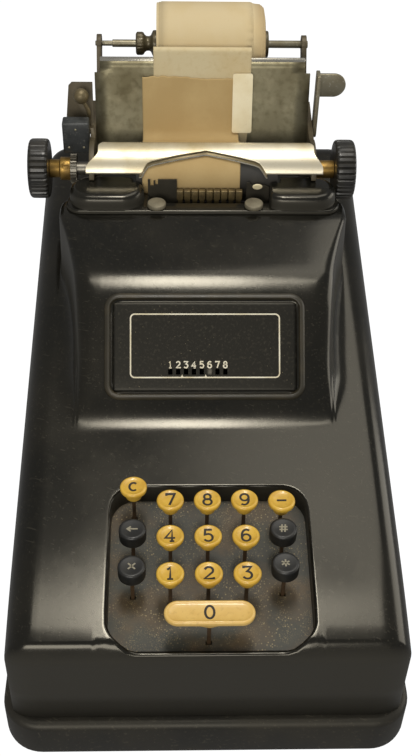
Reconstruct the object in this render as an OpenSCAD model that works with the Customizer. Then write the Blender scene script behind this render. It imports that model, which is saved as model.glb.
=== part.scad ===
// Ten-key printing adding machine: enamelled case on a base pan, sprung keys, printing works and paper roll.
// Millimetres, front towards -Y, +Z up, origin on the table under the middle of the machine.

/* [Base and case] */
// Width of the upper case
case_w = 206; // [202:1:216]
// Length of the upper case, front to back
case_l = 360; // [356:1:380]
// Sheet thickness of the upper case
case_wall = 2.5; // [1.5:0.1:3]
// Radius of the case's corners and top edges
case_r = 15; // [12:0.5:17]
// Height of the sloping deck above the seam, at mid length
deck_h = 98.4; // [96:0.2:104]
// Slope of the deck in degrees
deck_angle = 11.36; // [10.5:0.02:12]
// Ledge of the base pan outside the case
ledge = 6; // [4:0.5:9]
// Height of the base pan
base_h = 26.5; // [22:0.5:32]
// Wall and floor thickness of the base pan
base_wall = 3; // [2:0.25:4]
// Height of each rubber foot
foot_h = 2.5; // [2:0.25:5]
// Diameter of each rubber foot
foot_d = 18; // [12:1:24]
// Distance of each foot's centre from the pan's sides
foot_inset = 24; // [18:1:34]

/* [Hump and name panel] */
// Width of the hump at its front
hump_front_w = 147; // [144:1:152]
// Width of the hump at the ribbon cover
hump_back_w = 171; // [169:1:174]
// Length of the name panel along Y
panel_run = 54.3; // [51:0.1:57]
// Slope of the name panel in degrees
panel_angle = 45; // [43:0.5:47]
// Length of the hump's sloping top along Y
hump_top_l = 52.7; // [50:0.1:55]
// Slope of the hump's top in degrees
hump_slope = 11; // [9:0.5:13]
// Distance of the ribbon cover's front edge from the case's back
cover_inset = 119; // [118:0.25:120]
// Width of the name panel's bezel
bezel_w = 114; // [112:1:120]
// Height of the bezel up the slope
bezel_h = 62; // [60:0.5:66]
// Thickness of the bezel
bezel_t = 2; // [1.5:0.1:3]
// Corner radius of the bezel
bezel_r = 9; // [6:0.5:12]
// Width of the name plate that shows inside the bezel
plate_w = 103; // [98:1:104]
// Height of the name plate that shows inside the bezel
plate_h = 49; // [46:0.5:51]
// Thickness of the name plate
plate_t = 1.5; // [1:0.1:2]
// Number of column windows in the name plate
window_n = 8; // [6:1:9]
// Pitch of the column windows
window_pitch = 4.43; // [4:0.01:5]
// Width of one column window
window_w = 3.2; // [2.6:0.1:3.6]
// Height of one column window
window_h = 3.4; // [2.5:0.1:4.5]

/* [Keyboard] */
// Width of the key well
well_w = 107; // [104:0.5:112]
// Length of the key well along the deck
well_l = 86; // [84:0.5:88]
// Distance of the key well's middle behind the case's front
well_setback = 48; // [47:0.25:49]
// Depth of the key well
well_d = 12; // [10:0.25:14]
// Corner radius of the key well
well_r = 13; // [10:0.5:15]
// Pitch of the key columns
key_pitch_x = 19.4; // [18:0.1:20.5]
// Pitch of the digit rows
key_pitch_y = 20.7; // [19.5:0.1:21.5]
// Distance of the 7-8-9 row behind the key well's middle
key_row_lead = 24.2; // [22.5:0.1:25.5]
// Height of the key tops above the deck
key_rise = 14.2; // [12:0.1:18]
// Diameter of a key cap
cap_d = 14.2; // [12:0.1:15.5]
// Length of the zero bar
zero_l = 45; // [40:0.5:50]
// Travel of a key
key_travel = 5; // [3:0.25:6]
// Width of a key stem
stem_w = 2.6; // [2:0.1:3.2]
// Thickness of a key stem
stem_t = 1.4; // [1:0.1:1.8]
// Distance between the keyboard plate and the lower stem guide
guide_gap = 24; // [20:0.5:28]

/* [Printing works] */
// Distance of the platen's axis behind the ribbon cover's front edge
platen_back = 36; // [35.5:0.1:37]
// Height of the platen's axis above the ribbon cover's seam
platen_rise = 8.8; // [8.5:0.1:10]
// Radius of the rubber platen
platen_r = 16; // [15:0.1:16.2]
// Radius of the platen's shaft
platen_shaft_r = 4; // [3:0.1:4.5]
// Diameter of a platen knob
knob_d = 36; // [32:0.5:36.5]
// Width of a platen knob
knob_w = 12; // [10:0.5:17]
// Inner face of the left knob, distance from the centre
knob_left = 93; // [90:0.5:94]
// Inner face of the right knob, distance from the centre
knob_right = 80.5; // [79:0.25:81]
// Distance between the inner faces of the carriage plates
carriage_w = 130; // [128:0.5:132]
// Thickness of a carriage plate
carriage_t = 3; // [2:0.1:3.5]
// Number of type bars
bar_n = 9; // [7:1:9]
// Pitch of the type bars
bar_pitch = 4.4; // [4.2:0.05:4.6]
// Middle of the type bars along X
bar_x = 4; // [2:0.25:6]
// Radius of a ribbon spool
spool_r = 10.5; // [8:0.25:11]

/* [Paper] */
// Width of the paper tape
tape_w = 58.7; // [56:0.1:60]
// Thickness of the paper as modelled
tape_t = 0.3; // [0.2:0.05:0.35]
// Outer radius of the paper roll
roll_r = 25; // [22:0.25:28]
// Distance of the roll's axis behind the platen's axis
roll_back = 62; // [61.5:0.25:64]
// Height of the roll's axis above the platen's axis
roll_rise = 51.5; // [50:0.25:55]
// Radius of the roll's spindle
spindle_r = 2.3; // [1.8:0.1:3]
// Lean of the paper table in degrees
table_angle = 77.3; // [76:0.1:78]
// Height of the paper table above its tangent point on the platen
table_l = 61; // [58:0.5:64]

/* [Drive] */
// Distance of the drive shaft in front of the ribbon cover's front edge
drive_lead = 3; // [1:0.5:5]
// Height of the drive shaft
drive_z = 70; // [64:0.5:76]
// Radius of the drive shaft
drive_r = 6; // [5:0.25:7]
// Radius of the crank socket in the drive shaft's end
socket_r = 4; // [3:0.25:4.5]
// Depth of the crank socket
socket_l = 16; // [12:0.5:20]
// Distance of the side frames' inner faces from the centre
frame_x = 68.5; // [67:0.25:69]
// Thickness of a side frame
frame_t = 3; // [2:0.25:3]

/* [Fits] */
// Running clearance of a shaft in its bore
run_fit = 0.05; // [0.02:0.01:0.1]
// Clearance of sliding and passing pieces
slide_fit = 0.35; // [0.3:0.05:0.5]

/* [Hidden] */
$fn = 48;

seam_z = foot_h + base_h;
base_w = case_w + 2 * ledge;
base_l = case_l + 2 * ledge;
base_r = case_r + ledge;
pan_floor_z = foot_h + base_wall;
deck_mid = seam_z + deck_h;
rim = case_wall + 1.5;

cover_y = case_l / 2 - cover_inset;
panel_top_y = cover_y - hump_top_l;
hump_foot_y = panel_top_y - panel_run;
drive_y = cover_y - drive_lead;
well_y = well_setback - case_l / 2;
key_row_y = well_y + key_row_lead;

hump_foot_z = deck_z(hump_foot_y);
panel_top_z = hump_foot_z + (panel_top_y - hump_foot_y) * tan(panel_angle);
cover_z = panel_top_z + (cover_y - panel_top_y) * tan(hump_slope);
hump_end_r = 11;
cover_end_r = 9;
cover_end_x = hump_back_w / 2 - hump_end_r;
cover_mid_y = cover_y + cover_end_r;
lobe_x = 60;
lobe_r = 13.5;
lobe_in = lobe_x - 10;
lobe_out = lobe_x + 3;
lobe_y = cover_y + lobe_r;
lobe_rim = 3;
hump_back_y = lobe_y + lobe_r + lobe_rim;
cover_h = 2.4;
lobe_h = 11;
lobe_step = 0.6;
cover_wall = 2;
thumb_x = 28.5;
thumb_y = cover_y + 4.5;
thumb_d = 11.4;
thumb_h = 3.5;
thumb_shank_r = 2;
bezel_mid = 40.4;
bezel_lap = 2;
opening_r = 4;
window_x = -4;
window_drop = 14.3;
flag_window = 6;
function column_x(n) = window_x + (n - (window_n + 1) / 2) * window_pitch;

key_x = [-2 * key_pitch_x, -key_pitch_x, 0, key_pitch_x, 2 * key_pitch_x];
function row_y(n) = key_row_y - n * key_pitch_y;
plate_sheet = 1.5;
plate_drop = well_d / cos(deck_angle);
sheet_drop = plate_sheet / cos(deck_angle);
guide_drop = plate_drop + sheet_drop + guide_gap;
correct_lead = 7.8;
black_lead = 3.8;
right_lead = 1.3;
KEYS = [
    ["key_7", "digit", key_x[1], row_y(0)], ["key_8", "digit", key_x[2], row_y(0)],
    ["key_9", "digit", key_x[3], row_y(0)], ["key_4", "digit", key_x[1], row_y(1)],
    ["key_5", "digit", key_x[2], row_y(1)], ["key_6", "digit", key_x[3], row_y(1)],
    ["key_1", "digit", key_x[1], row_y(2)], ["key_2", "digit", key_x[2], row_y(2)],
    ["key_3", "digit", key_x[3], row_y(2)], ["key_0", "bar", key_x[2], row_y(3)],
    ["key_correct", "digit", key_x[0], row_y(0) + correct_lead],
    ["key_back_space", "black", key_x[0], row_y(1) + black_lead],
    ["key_repeat", "black", key_x[0], row_y(2) + black_lead],
    ["key_subtract", "digit", key_x[4], row_y(0) - black_lead / 2 + right_lead],
    ["key_non_add", "black", key_x[4], row_y(1) + black_lead],
    ["key_total", "black", key_x[4], row_y(2) + black_lead + right_lead],
];
cap_h = 4.6;
cap_neck_h = 5;
black_h = 8;
neck_r = 3.2;
shoulder_w = 6.6;
shoulder_h = 1.2;
stem_tail = 8;
spring_r = 3;
spring_wire = 0.7;
plate_slot_w = stem_w + 2 * slide_fit;
plate_slot_t = stem_t + 2 * slide_fit;

platen_y = cover_y + platen_back;
platen_z = cover_z + platen_rise;
paper_gap = 0.3;
paper_in_r = platen_r + paper_gap;
paper_mid_r = paper_in_r + tape_t / 2;
paper_out_r = paper_in_r + tape_t;
platen_x0 = -40;
platen_x1 = 45;
knob_r = knob_d / 2;
carriage_x = carriage_w / 2;
carriage_back_y = platen_y + 43;
carriage_top_z = platen_z + 22.5;
feed_r = 6.7;
feed_shaft_r = 2;
feed_angle = -60;
feed_y = platen_y + (paper_out_r + paper_gap + feed_r) * cos(feed_angle);
feed_z = platen_z + (paper_out_r + paper_gap + feed_r) * sin(feed_angle);
shield_in_r = platen_r + 2.3;
shield_t = 1;
shield_x0 = -70;
shield_x1 = 72;
shield_low = 158;
shield_top = 92;
table_t = 1.5;
table_r = paper_out_r + 0.4;
table_touch = table_angle - 90;
chute_end = -38;
chute_t = 1.2;
edge_roll_r = 1.8;

bar_w = 2.8;
bar_d = 2.4;
bar_y = platen_y - 19.8;
bar_top_z = cover_z + 6.3;
bar_x0 = bar_x - (bar_n - 1) * bar_pitch / 2;
arm_l = bar_y - drive_y;
arm_tip_r = 4;
arm_t = 4;
arm_x = 40;
lift_z = drive_z + arm_tip_r + slide_fit;
lift_h = 7;
lift_d = 14;
spool_z = cover_z - 18;
spool_plate_t = 2;
spool_h = 15;
spool_pin_r = 2.5;
drum_r = spool_r - 2.5;
ribbon_h = 11;
ribbon_t = 0.3;
ribbon_y = platen_y - paper_out_r - 0.75;
frame_y0 = hump_foot_y - 30;
frame_y1 = platen_y + 50;
frame_top_y0 = drive_y - 14;
frame_top_y1 = cover_y + 19;
rail_r = 3;
rail_y = 14;
rail_mid_y = panel_top_y - 8.3;
rail_z = deck_mid - 35;
arbor_r = 3;
arbor_y = drive_y - 20;
arbor_z = rail_z + 6;
wheel_r = 9;
drive_end_x = case_w / 2 - 1;
roll_y = platen_y + roll_back;
roll_z = platen_z + roll_rise;
roll_x0 = -tape_w / 2 + 1.5;
roll_x1 = tape_w / 2 + 1.5;
web_x0 = -tape_w / 2 - 1.5;
web_x1 = tape_w / 2 - 1.5;
post_t = 3;
post_x = carriage_x - post_t;
core_r = 6;
roll_slip = 8;
pivot_r = 1.5;
lever_pivot = [platen_y + 17.6, platen_z + 16.5];
release_pivot = [platen_y + 24, platen_z + 13.5];

function deck_z(y) = deck_mid + tan(deck_angle) * y;
function polar(r, a) = [r * cos(a), r * sin(a)];
function smooth(t) = let (u = max(0, min(1, t))) u * u * (3 - 2 * u);
function unit(v) = v / norm(v);
function side(v) = [-v[1], v[0]];
function cross_at(p, a, q, b) =
    let (d = [cos(a), sin(a)], e = [cos(b), sin(b)], w = q - p)
    p + d * ((w[0] * e[1] - w[1] * e[0]) / (d[0] * e[1] - d[1] * e[0]));
function arc(c, r, a0, a1, n) = [for (i = [0:n]) c + polar(r, a0 + (a1 - a0) * i / n)];
function band(path, t) =
    let (
        last = len(path) - 1,
        sides = [for (i = [0:last]) side(unit(path[min(i + 1, last)] - path[max(i - 1, 0)])) * t / 2]
    )
    concat([for (i = [0:last]) path[i] + sides[i]], [for (i = [last:-1:0]) path[i] - sides[i]]);

module rounded_rect(w, l, r) {
    square([w - 2 * r, l], center = true);
    square([w, l - 2 * r], center = true);
    for (sx = [-1, 1], sy = [-1, 1]) translate([sx * (w / 2 - r), sy * (l / 2 - r)]) circle(r);
}

// A (y, z) outline made solid between two x positions.
module across(x0, x1) {
    translate([x0, 0, 0]) rotate([90, 0, 90]) linear_extrude(x1 - x0) children();
}

// A round bar along X about the axis (y, z).
module rod(x0, x1, y, z, r) {
    translate([x0, y, z]) rotate([0, 90, 0]) cylinder(r = r, h = x1 - x0);
}

// Frame with its XY plane on the deck.
module on_deck(y) {
    translate([0, y, deck_z(y)]) rotate([deck_angle, 0, 0]) children();
}

// Frame with its XY plane on the name panel.
module on_panel() {
    translate([0, hump_foot_y + bezel_mid * cos(panel_angle), hump_foot_z + bezel_mid * sin(panel_angle)])
        rotate([panel_angle, 0, 0]) children();
}

// Base pan and case.
module base_pan() {
    color("#1c1d1b") translate([0, 0, foot_h]) difference() {
        linear_extrude(base_h) rounded_rect(base_w, base_l, base_r);
        translate([0, 0, base_wall]) linear_extrude(base_h - 2 * base_wall)
            rounded_rect(base_w - 2 * base_wall, base_l - 2 * base_wall, base_r - base_wall);
        translate([0, 0, base_wall]) linear_extrude(base_h)
            rounded_rect(case_w - 2 * rim, case_l - 2 * rim, case_r - rim);
    }
}

module rubber_feet() {
    color("#141414") for (sx = [-1, 1], sy = [-1, 1])
        translate([sx * (base_w / 2 - foot_inset), sy * (base_l / 2 - foot_inset), 0])
            rotate_extrude() polygon([[0, 0], [foot_d / 2 - 1, 0], [foot_d / 2, foot_h], [0, foot_h]]);
}

module case_block(inset, drop) {
    hull() for (sx = [-1, 1], sy = [-1, 1]) {
        cx = sx * (case_w / 2 - case_r);
        cy = sy * (case_l / 2 - case_r);
        translate([cx, cy, seam_z - drop]) cylinder(r = case_r - inset, h = 1, $fn = 32);
        translate([cx, cy, deck_z(cy) - case_r / cos(deck_angle)]) sphere(r = case_r - inset, $fn = 32);
    }
}

function hump_half_w(y) = hump_front_w / 2
    + (hump_back_w - hump_front_w) / 2 * smooth((y - panel_top_y) / (cover_y - panel_top_y));

module hump_plan(inset) {
    ys = [for (i = [0:12]) hump_foot_y - 30 + (cover_mid_y - hump_foot_y + 30) * i / 12];
    polygon(concat([for (y = ys) [hump_half_w(y) - inset, y]],
        [for (i = [12:-1:0]) [-hump_half_w(ys[i]) + inset, ys[i]]]));
    for (sx = [-1, 1]) {
        translate([sx * cover_end_x, cover_mid_y]) circle(hump_end_r - inset);
        translate([sx * lobe_out, lobe_y]) circle(lobe_r + lobe_rim - inset);
    }
    translate([-cover_end_x, cover_y]) square([2 * cover_end_x, cover_mid_y + hump_end_r - inset - cover_y]);
    translate([-lobe_out, cover_y]) square([2 * lobe_out, hump_back_y - inset - cover_y]);
}

module hump_side(inset) {
    foot = [hump_foot_y + inset / sin(panel_angle), hump_foot_z];
    top = [cover_y, cover_z - inset / cos(hump_slope)];
    ridge = cross_at(foot, panel_angle, top, hump_slope);
    low_z = hump_foot_z - 25;
    polygon([
        [foot[0] - (foot[1] - low_z) / tan(panel_angle), low_z], ridge,
        [cover_y, cover_z - inset], [hump_back_y + 1, cover_z - inset], [hump_back_y + 1, low_z],
    ]);
}

module hump_block(inset) {
    intersection() {
        across(-case_w / 2, case_w / 2) hump_side(inset);
        linear_extrude(2 * cover_z) hump_plan(inset);
    }
}

// Everything above a plane a little under the deck.
module above_deck() {
    sunk = 8;
    across(-case_w, case_w) polygon([
        [-case_l, deck_z(-case_l) - sunk], [case_l, deck_z(case_l) - sunk],
        [case_l, 3 * cover_z], [-case_l, 3 * cover_z],
    ]);
}

module case_cover() {
    color("#16181a") difference() {
        union() {
            difference() {
                union() {
                    case_block(0, 0);
                    intersection() {
                        hump_block(0);
                        above_deck();
                    }
                }
                case_block(case_wall, 1);
                hump_block(case_wall);
            }
            intersection() {
                case_block(0, 0);
                on_deck(well_y) translate([0, 0, -well_d]) linear_extrude(well_d + 1)
                    rounded_rect(well_w + 2 * case_wall, well_l + 2 * case_wall, well_r + case_wall);
            }
        }
        on_deck(well_y) translate([0, 0, -well_d - 1]) linear_extrude(well_d + 20)
            rounded_rect(well_w, well_l, well_r);
        on_panel() translate([0, 0, -3 * case_wall]) linear_extrude(4 * case_wall)
            rounded_rect(plate_w + 2 * bezel_lap, plate_h + 2 * bezel_lap, opening_r + bezel_lap);
        translate([0, 0, cover_z - 2 * case_wall]) linear_extrude(4 * case_wall) cover_plan(lobe_rim);
        translate([platen_x0 - 7, cover_mid_y, cover_z - 10.5])
            cube([platen_x1 - platen_x0 + 14, hump_back_y + 6 - cover_mid_y, 20]);
        rod(case_w / 2 - case_r, case_w / 2 + 1, drive_y, drive_z, drive_r + 1.6);
    }
}

// Keyboard.
module stem_slots() {
    for (k = KEYS) translate([k[2] - plate_slot_w / 2, k[3] - plate_slot_t / 2, 0])
        cube([plate_slot_w, plate_slot_t, deck_mid]);
}

module keyboard_plate() {
    color("#2c2b20") difference() {
        on_deck(well_y) translate([0, 0, -well_d - plate_sheet]) linear_extrude(plate_sheet)
            rounded_rect(well_w + 2 * case_wall, well_l + 2 * case_wall, well_r + case_wall);
        stem_slots();
    }
}

module stem_guide_plate() {
    low = -well_d - plate_sheet - guide_gap * cos(deck_angle);
    color("#5b5546") difference() {
        on_deck(well_y) {
            translate([0, 0, low - plate_sheet]) linear_extrude(plate_sheet)
                rounded_rect(well_w, well_l, well_r);
            for (sx = [-1, 1], sy = [-1, 1])
                translate([sx * (well_w / 2 - 4), sy * (well_l / 2 - 14), low - plate_sheet / 2])
                    cylinder(r = 2.5, h = guide_gap * cos(deck_angle) + plate_sheet / 2);
        }
        stem_slots();
    }
}

function guide_top_z(y) = deck_z(y) - guide_drop;
function shoulder_top_z(y) = deck_z(y) - plate_drop - sheet_drop - slide_fit - stem_t * tan(deck_angle) / 2;

module key_springs() {
    color("#8a8578") for (k = KEYS) {
        foot = guide_top_z(k[3]) + spring_r * tan(deck_angle) + 0.1;
        head = shoulder_top_z(k[3]) - shoulder_h - 0.1;
        translate([k[2], k[3], foot]) difference() {
            cylinder(r = spring_r, h = head - foot);
            translate([0, 0, -1]) cylinder(r = spring_r - spring_wire, h = head - foot + 2);
        }
    }
}

// Profile of a dished yellow cap with its neck, standing on z = 0.
module digit_profile() {
    r = cap_d / 2;
    polygon([
        [0, 0], [neck_r, 0], [neck_r, cap_neck_h - 1], [r - 2, cap_neck_h], [r, cap_neck_h + 1],
        [r, cap_neck_h + cap_h - 1.4], [r - 1.2, cap_neck_h + cap_h],
        [r - 2.4, cap_neck_h + cap_h - 0.3], [0, cap_neck_h + cap_h - 0.8],
    ]);
}

module zero_cap() {
    half = (zero_l - cap_d) / 2;
    r = cap_d / 2;
    cylinder(r = neck_r, h = cap_neck_h + 1);
    for (sx = [-1, 1]) translate([sx * half, 0, cap_neck_h]) cylinder(r = r, h = cap_h);
    translate([-half, -r, cap_neck_h]) cube([2 * half, cap_d, cap_h]);
}

module black_profile() {
    r = cap_d / 2;
    polygon([[0, 0], [r - 0.8, 0], [r, 0.8], [r, black_h - 1], [r - 1, black_h], [0, black_h - 0.6]]);
}

module key(k) {
    top = deck_z(k[3]) + key_rise;
    cap_total = k[1] == "black" ? black_h : cap_neck_h + cap_h;
    stem_z = guide_top_z(k[3]) - stem_tail;
    color(k[1] == "black" ? "#232323" : "#dcb446") translate([k[2], k[3], top - cap_total]) {
        if (k[1] == "digit") rotate_extrude() digit_profile();
        if (k[1] == "black") rotate_extrude() black_profile();
        if (k[1] == "bar") zero_cap();
    }
    color("#6d5c46") translate([k[2], k[3], 0]) {
        translate([-stem_w / 2, -stem_t / 2, stem_z]) cube([stem_w, stem_t, top - cap_total / 2 - stem_z]);
        translate([-shoulder_w / 2, -stem_t / 2, shoulder_top_z(k[3]) - shoulder_h])
            cube([shoulder_w, stem_t, shoulder_h]);
    }
}

// Name panel.
module name_bezel() {
    color("#3a352a") on_panel() linear_extrude(bezel_t) difference() {
        rounded_rect(bezel_w, bezel_h, bezel_r);
        rounded_rect(plate_w, plate_h, opening_r);
    }
}

module name_plate() {
    lap = bezel_lap - slide_fit;
    color("#121212") on_panel() difference() {
        translate([0, 0, -plate_t]) linear_extrude(plate_t)
            rounded_rect(plate_w + 2 * lap, plate_h + 2 * lap, opening_r + lap);
        for (i = [0:window_n - 1])
            translate([column_x(i + 1) - window_w / 2, -window_drop - window_h / 2, -plate_t - 1])
                cube([window_w, window_h, plate_t + 2]);
    }
}

// Side frames, rods and the pin carriage.
module frame_outline() {
    under = 12;
    polygon([
        [frame_y0, pan_floor_z], [frame_y1, pan_floor_z], [frame_y1, deck_z(frame_top_y1) - under],
        [frame_top_y1, deck_z(frame_top_y1) - under], [frame_top_y1, spool_z], [frame_top_y0, spool_z],
        [frame_top_y0, deck_z(frame_top_y0) - under], [frame_y0, deck_z(frame_y0) - under],
    ]);
}

module side_frame(x0) {
    difference() {
        across(x0, x0 + frame_t) frame_outline();
        rod(x0 - 1, x0 + frame_t + 1, drive_y, drive_z, drive_r + run_fit);
        rod(x0 - 1, x0 + frame_t + 1, arbor_y, arbor_z, arbor_r + run_fit);
    }
}

module left_side_frame() { color("#77736a") side_frame(-frame_x - frame_t); }
module right_side_frame() { color("#77736a") side_frame(frame_x); }

module frame_rods() {
    tie_r = rail_r + 1;
    color("#8d8a82") {
        for (y = [rail_mid_y - rail_y, rail_mid_y + rail_y]) rod(-frame_x, frame_x, y, rail_z, rail_r);
        for (y = [frame_y0 + 15, frame_y1 - 20]) rod(-frame_x, frame_x, y, seam_z + 3 * tie_r, tie_r);
    }
}

module pin_carriage() {
    len_x = 60;
    wide = 2 * rail_y + 16;
    front = rail_mid_y - wide / 2;
    tall = 16;
    flag_x = column_x(flag_window);
    pin_r = 0.8;
    pin_pitch = 3.2;
    flag_t = 0.8;
    flag_l = 6;
    behind = plate_t + slide_fit;
    flag_mid = bezel_mid - window_drop;
    arm_y = hump_foot_y + flag_mid * cos(panel_angle) + (behind + flag_t) * sin(panel_angle);
    arm_top = hump_foot_z + flag_mid * sin(panel_angle) - (behind + flag_t / 2) * cos(panel_angle);
    color("#b9b4a4") {
        difference() {
            translate([-len_x / 2, front, rail_z - tall / 2]) cube([len_x, wide, tall]);
            for (y = [rail_mid_y - rail_y, rail_mid_y + rail_y])
                rod(-len_x / 2 - 1, len_x / 2 + 1, y, rail_z, rail_r + run_fit);
        }
        for (i = [0:bar_n - 1], j = [0:7])
            translate([bar_x0 + i * bar_pitch, rail_mid_y + (j - 3.5) * pin_pitch, rail_z + tall / 2 - 1])
                cylinder(r = pin_r, h = 3);
        translate([flag_x - window_w / 2, arm_y, rail_z]) cube([window_w, 1.6, arm_top - rail_z]);
        translate([flag_x - window_w / 2, arm_y, rail_z]) cube([window_w, front - arm_y + 1, 4]);
        on_panel() translate([flag_x - window_w / 2, -window_drop - flag_l / 2, -behind - flag_t])
            cube([window_w, flag_l, flag_t]);
    }
}

// Drive, type bars and adding wheels.
module drive_shaft() {
    color("#9a978e") difference() {
        union() {
            rod(-frame_x - frame_t, drive_end_x, drive_y, drive_z, drive_r);
            for (sx = [-1, 1]) {
                rod(sx * arm_x - arm_t / 2, sx * arm_x + arm_t / 2, drive_y + arm_l, drive_z, arm_tip_r);
                rod(sx * arm_x - arm_t / 2, sx * arm_x + arm_t / 2, drive_y, drive_z, drive_r + 3);
                translate([sx * arm_x - arm_t / 2, drive_y, drive_z - arm_tip_r])
                    cube([arm_t, arm_l, 2 * arm_tip_r]);
            }
        }
        rod(drive_end_x - socket_l, drive_end_x + 1, drive_y, drive_z, socket_r);
    }
}

module lift_bar() {
    color("#77736a")
        translate([-frame_x + slide_fit, bar_y - lift_d / 2, lift_z])
            cube([2 * (frame_x - slide_fit), lift_d, lift_h]);
}

module type_bars() {
    color("#a8a396") for (i = [0:bar_n - 1])
        translate([bar_x0 + i * bar_pitch - bar_w / 2, bar_y - bar_d / 2, lift_z + lift_h])
            cube([bar_w, bar_d, bar_top_z - lift_z - lift_h]);
}

module bar_slots(z, h) {
    for (i = [0:bar_n - 1])
        translate([bar_x0 + i * bar_pitch - bar_w / 2 - slide_fit, bar_y - bar_d / 2 - slide_fit, z])
            cube([bar_w + 2 * slide_fit, bar_d + 2 * slide_fit, h]);
}

// Slotted block that keeps the type bars upright.
module type_comb() {
    comb_w = bar_n * bar_pitch + 4;
    comb_d = 6;
    comb_h = 5;
    translate([bar_x - comb_w / 2, bar_y - comb_d / 2 - 1, spool_z + spool_plate_t / 2])
        cube([comb_w, comb_d, comb_h + spool_plate_t / 2]);
}

module adding_arbor() {
    color("#8d8a82") rod(-frame_x - frame_t, frame_x + frame_t, arbor_y, arbor_z, arbor_r);
}

module adding_wheels() {
    teeth = 10;
    wheel_t = 2.6;
    color("#c0a262") for (i = [0:bar_n - 1]) translate([bar_x0 + i * bar_pitch - wheel_t / 2, 0, 0])
        difference() {
            across(0, wheel_t) translate([arbor_y, arbor_z]) {
                circle(wheel_r - 2.2);
                for (t = [0:teeth - 1]) rotate(t * 360 / teeth)
                    polygon([[0, -2.2], [wheel_r, -0.8], [wheel_r, 0.8], [0, 2.2]]);
            }
            rod(-1, wheel_t + 1, arbor_y, arbor_z, arbor_r + 0.02);
        }
}

// Ribbon.
module spool_plate() {
    front = cover_y - 4;
    color("#5b5546") {
        difference() {
            union() {
                translate([0, 0, spool_z]) linear_extrude(spool_plate_t) intersection() {
                    hump_plan(case_wall + slide_fit);
                    translate([-case_w / 2, front]) square([case_w, 60]);
                }
                type_comb();
            }
            bar_slots(spool_z - 1, 6 * spool_plate_t - 1);
        }
        for (sx = [-1, 1]) translate([sx * lobe_x, lobe_y, spool_z + spool_plate_t / 2])
            cylinder(r = spool_pin_r, h = spool_h + 4);
    }
}

module spool() {
    spool_rim = 1;
    z = spool_z + spool_plate_t + slide_fit;
    translate([0, lobe_y, z]) rotate_extrude() polygon([
        [spool_pin_r + run_fit, 0], [spool_r, 0], [spool_r, spool_rim], [drum_r, spool_rim],
        [drum_r, spool_h - spool_rim], [spool_r, spool_h - spool_rim], [spool_r, spool_h],
        [spool_pin_r + run_fit, spool_h],
    ]);
}

module left_spool() { color("#4a463d") translate([-lobe_x, 0, 0]) spool(); }
module right_spool() { color("#4a463d") translate([lobe_x, 0, 0]) spool(); }

module ink_ribbon() {
    start_r = drum_r + slide_fit + ribbon_t / 2;
    turn_x = 34;
    reach = norm([lobe_x - turn_x, ribbon_y - lobe_y]);
    lead = atan2(ribbon_y - lobe_y, lobe_x - turn_x);
    touch = polar(start_r, lead + acos(start_r / reach));
    path = [
        [-lobe_x, lobe_y] + touch, [-turn_x, ribbon_y], [turn_x, ribbon_y],
        [lobe_x, lobe_y] + [-touch[0], touch[1]],
    ];
    color("#1b1b1d") translate([0, 0, spool_z + spool_plate_t + 2])
        linear_extrude(ribbon_h) polygon(band(path, ribbon_t));
}

module ribbon_guides() {
    guide_t = 0.8;
    guide_w = 13.6;
    guide_h = cover_z - spool_z - spool_plate_t + 9;
    gap_left = bar_x0 - bar_pitch;
    gap_right = bar_x0 + bar_n * bar_pitch;
    for (x = [gap_left - guide_w, gap_right]) color("#2a2924")
        translate([x, ribbon_y - ribbon_t / 2 - 0.1 - guide_t, spool_z + spool_plate_t]) difference() {
            cube([guide_w, guide_t, guide_h]);
            translate([guide_w / 2 - 1.5, -1, guide_h - 3]) cube([3, guide_t + 2, 4]);
        }
}

// Long round-ended bulges over the two spools.
module lobe_plan(inset) {
    r = lobe_r - inset;
    for (sx = [-1, 1]) {
        for (x = [lobe_in, lobe_out]) translate([sx * x, lobe_y]) circle(r);
        translate([sx * (lobe_in + lobe_out) / 2, lobe_y]) square([lobe_out - lobe_in, 2 * r], center = true);
    }
}

module cover_plan(inset) {
    r = cover_end_r - inset;
    translate([-cover_end_x, cover_mid_y - r]) square([2 * cover_end_x, 2 * r]);
    for (sx = [-1, 1]) translate([sx * cover_end_x, cover_mid_y]) circle(r);
    lobe_plan(inset);
}

module ribbon_cover() {
    slot_x0 = bar_x0 - bar_pitch - 14;
    slot_x1 = bar_x0 + bar_n * bar_pitch + 14;
    color("#191a1a") translate([0, 0, cover_z]) difference() {
        union() {
            difference() {
                union() {
                    linear_extrude(cover_h) cover_plan(0);
                    translate([0, 0, 1]) linear_extrude(lobe_h - 1) lobe_plan(lobe_step);
                }
                translate([0, 0, -1]) linear_extrude(cover_h - cover_wall + 1) cover_plan(cover_wall);
                translate([0, 0, -1]) linear_extrude(lobe_h - cover_wall + 1)
                    lobe_plan(lobe_step + cover_wall);
            }
            for (sx = [-1, 1]) translate([sx * thumb_x, thumb_y, 0])
                cylinder(r = 2 * thumb_shank_r, h = cover_h);
        }
        for (sx = [-1, 1]) translate([sx * thumb_x, thumb_y, -1])
            cylinder(r = thumb_shank_r + run_fit, h = cover_h + 2);
        translate([slot_x0, bar_y - 7.4, -1]) cube([slot_x1 - slot_x0, 40, lobe_h + 2]);
        translate([platen_x0 - 1.5, platen_y - paper_out_r - 0.8, -1])
            cube([platen_x1 - platen_x0 + 3, 20, lobe_h + 2]);
    }
}

module thumb_screws() {
    color("#6e6a5c") for (sx = [-1, 1]) translate([sx * thumb_x, thumb_y, cover_z + cover_h]) {
        cylinder(d = thumb_d, h = thumb_h);
        translate([0, 0, 0.5 - cover_h]) cylinder(r = thumb_shank_r, h = cover_h);
    }
}

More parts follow.
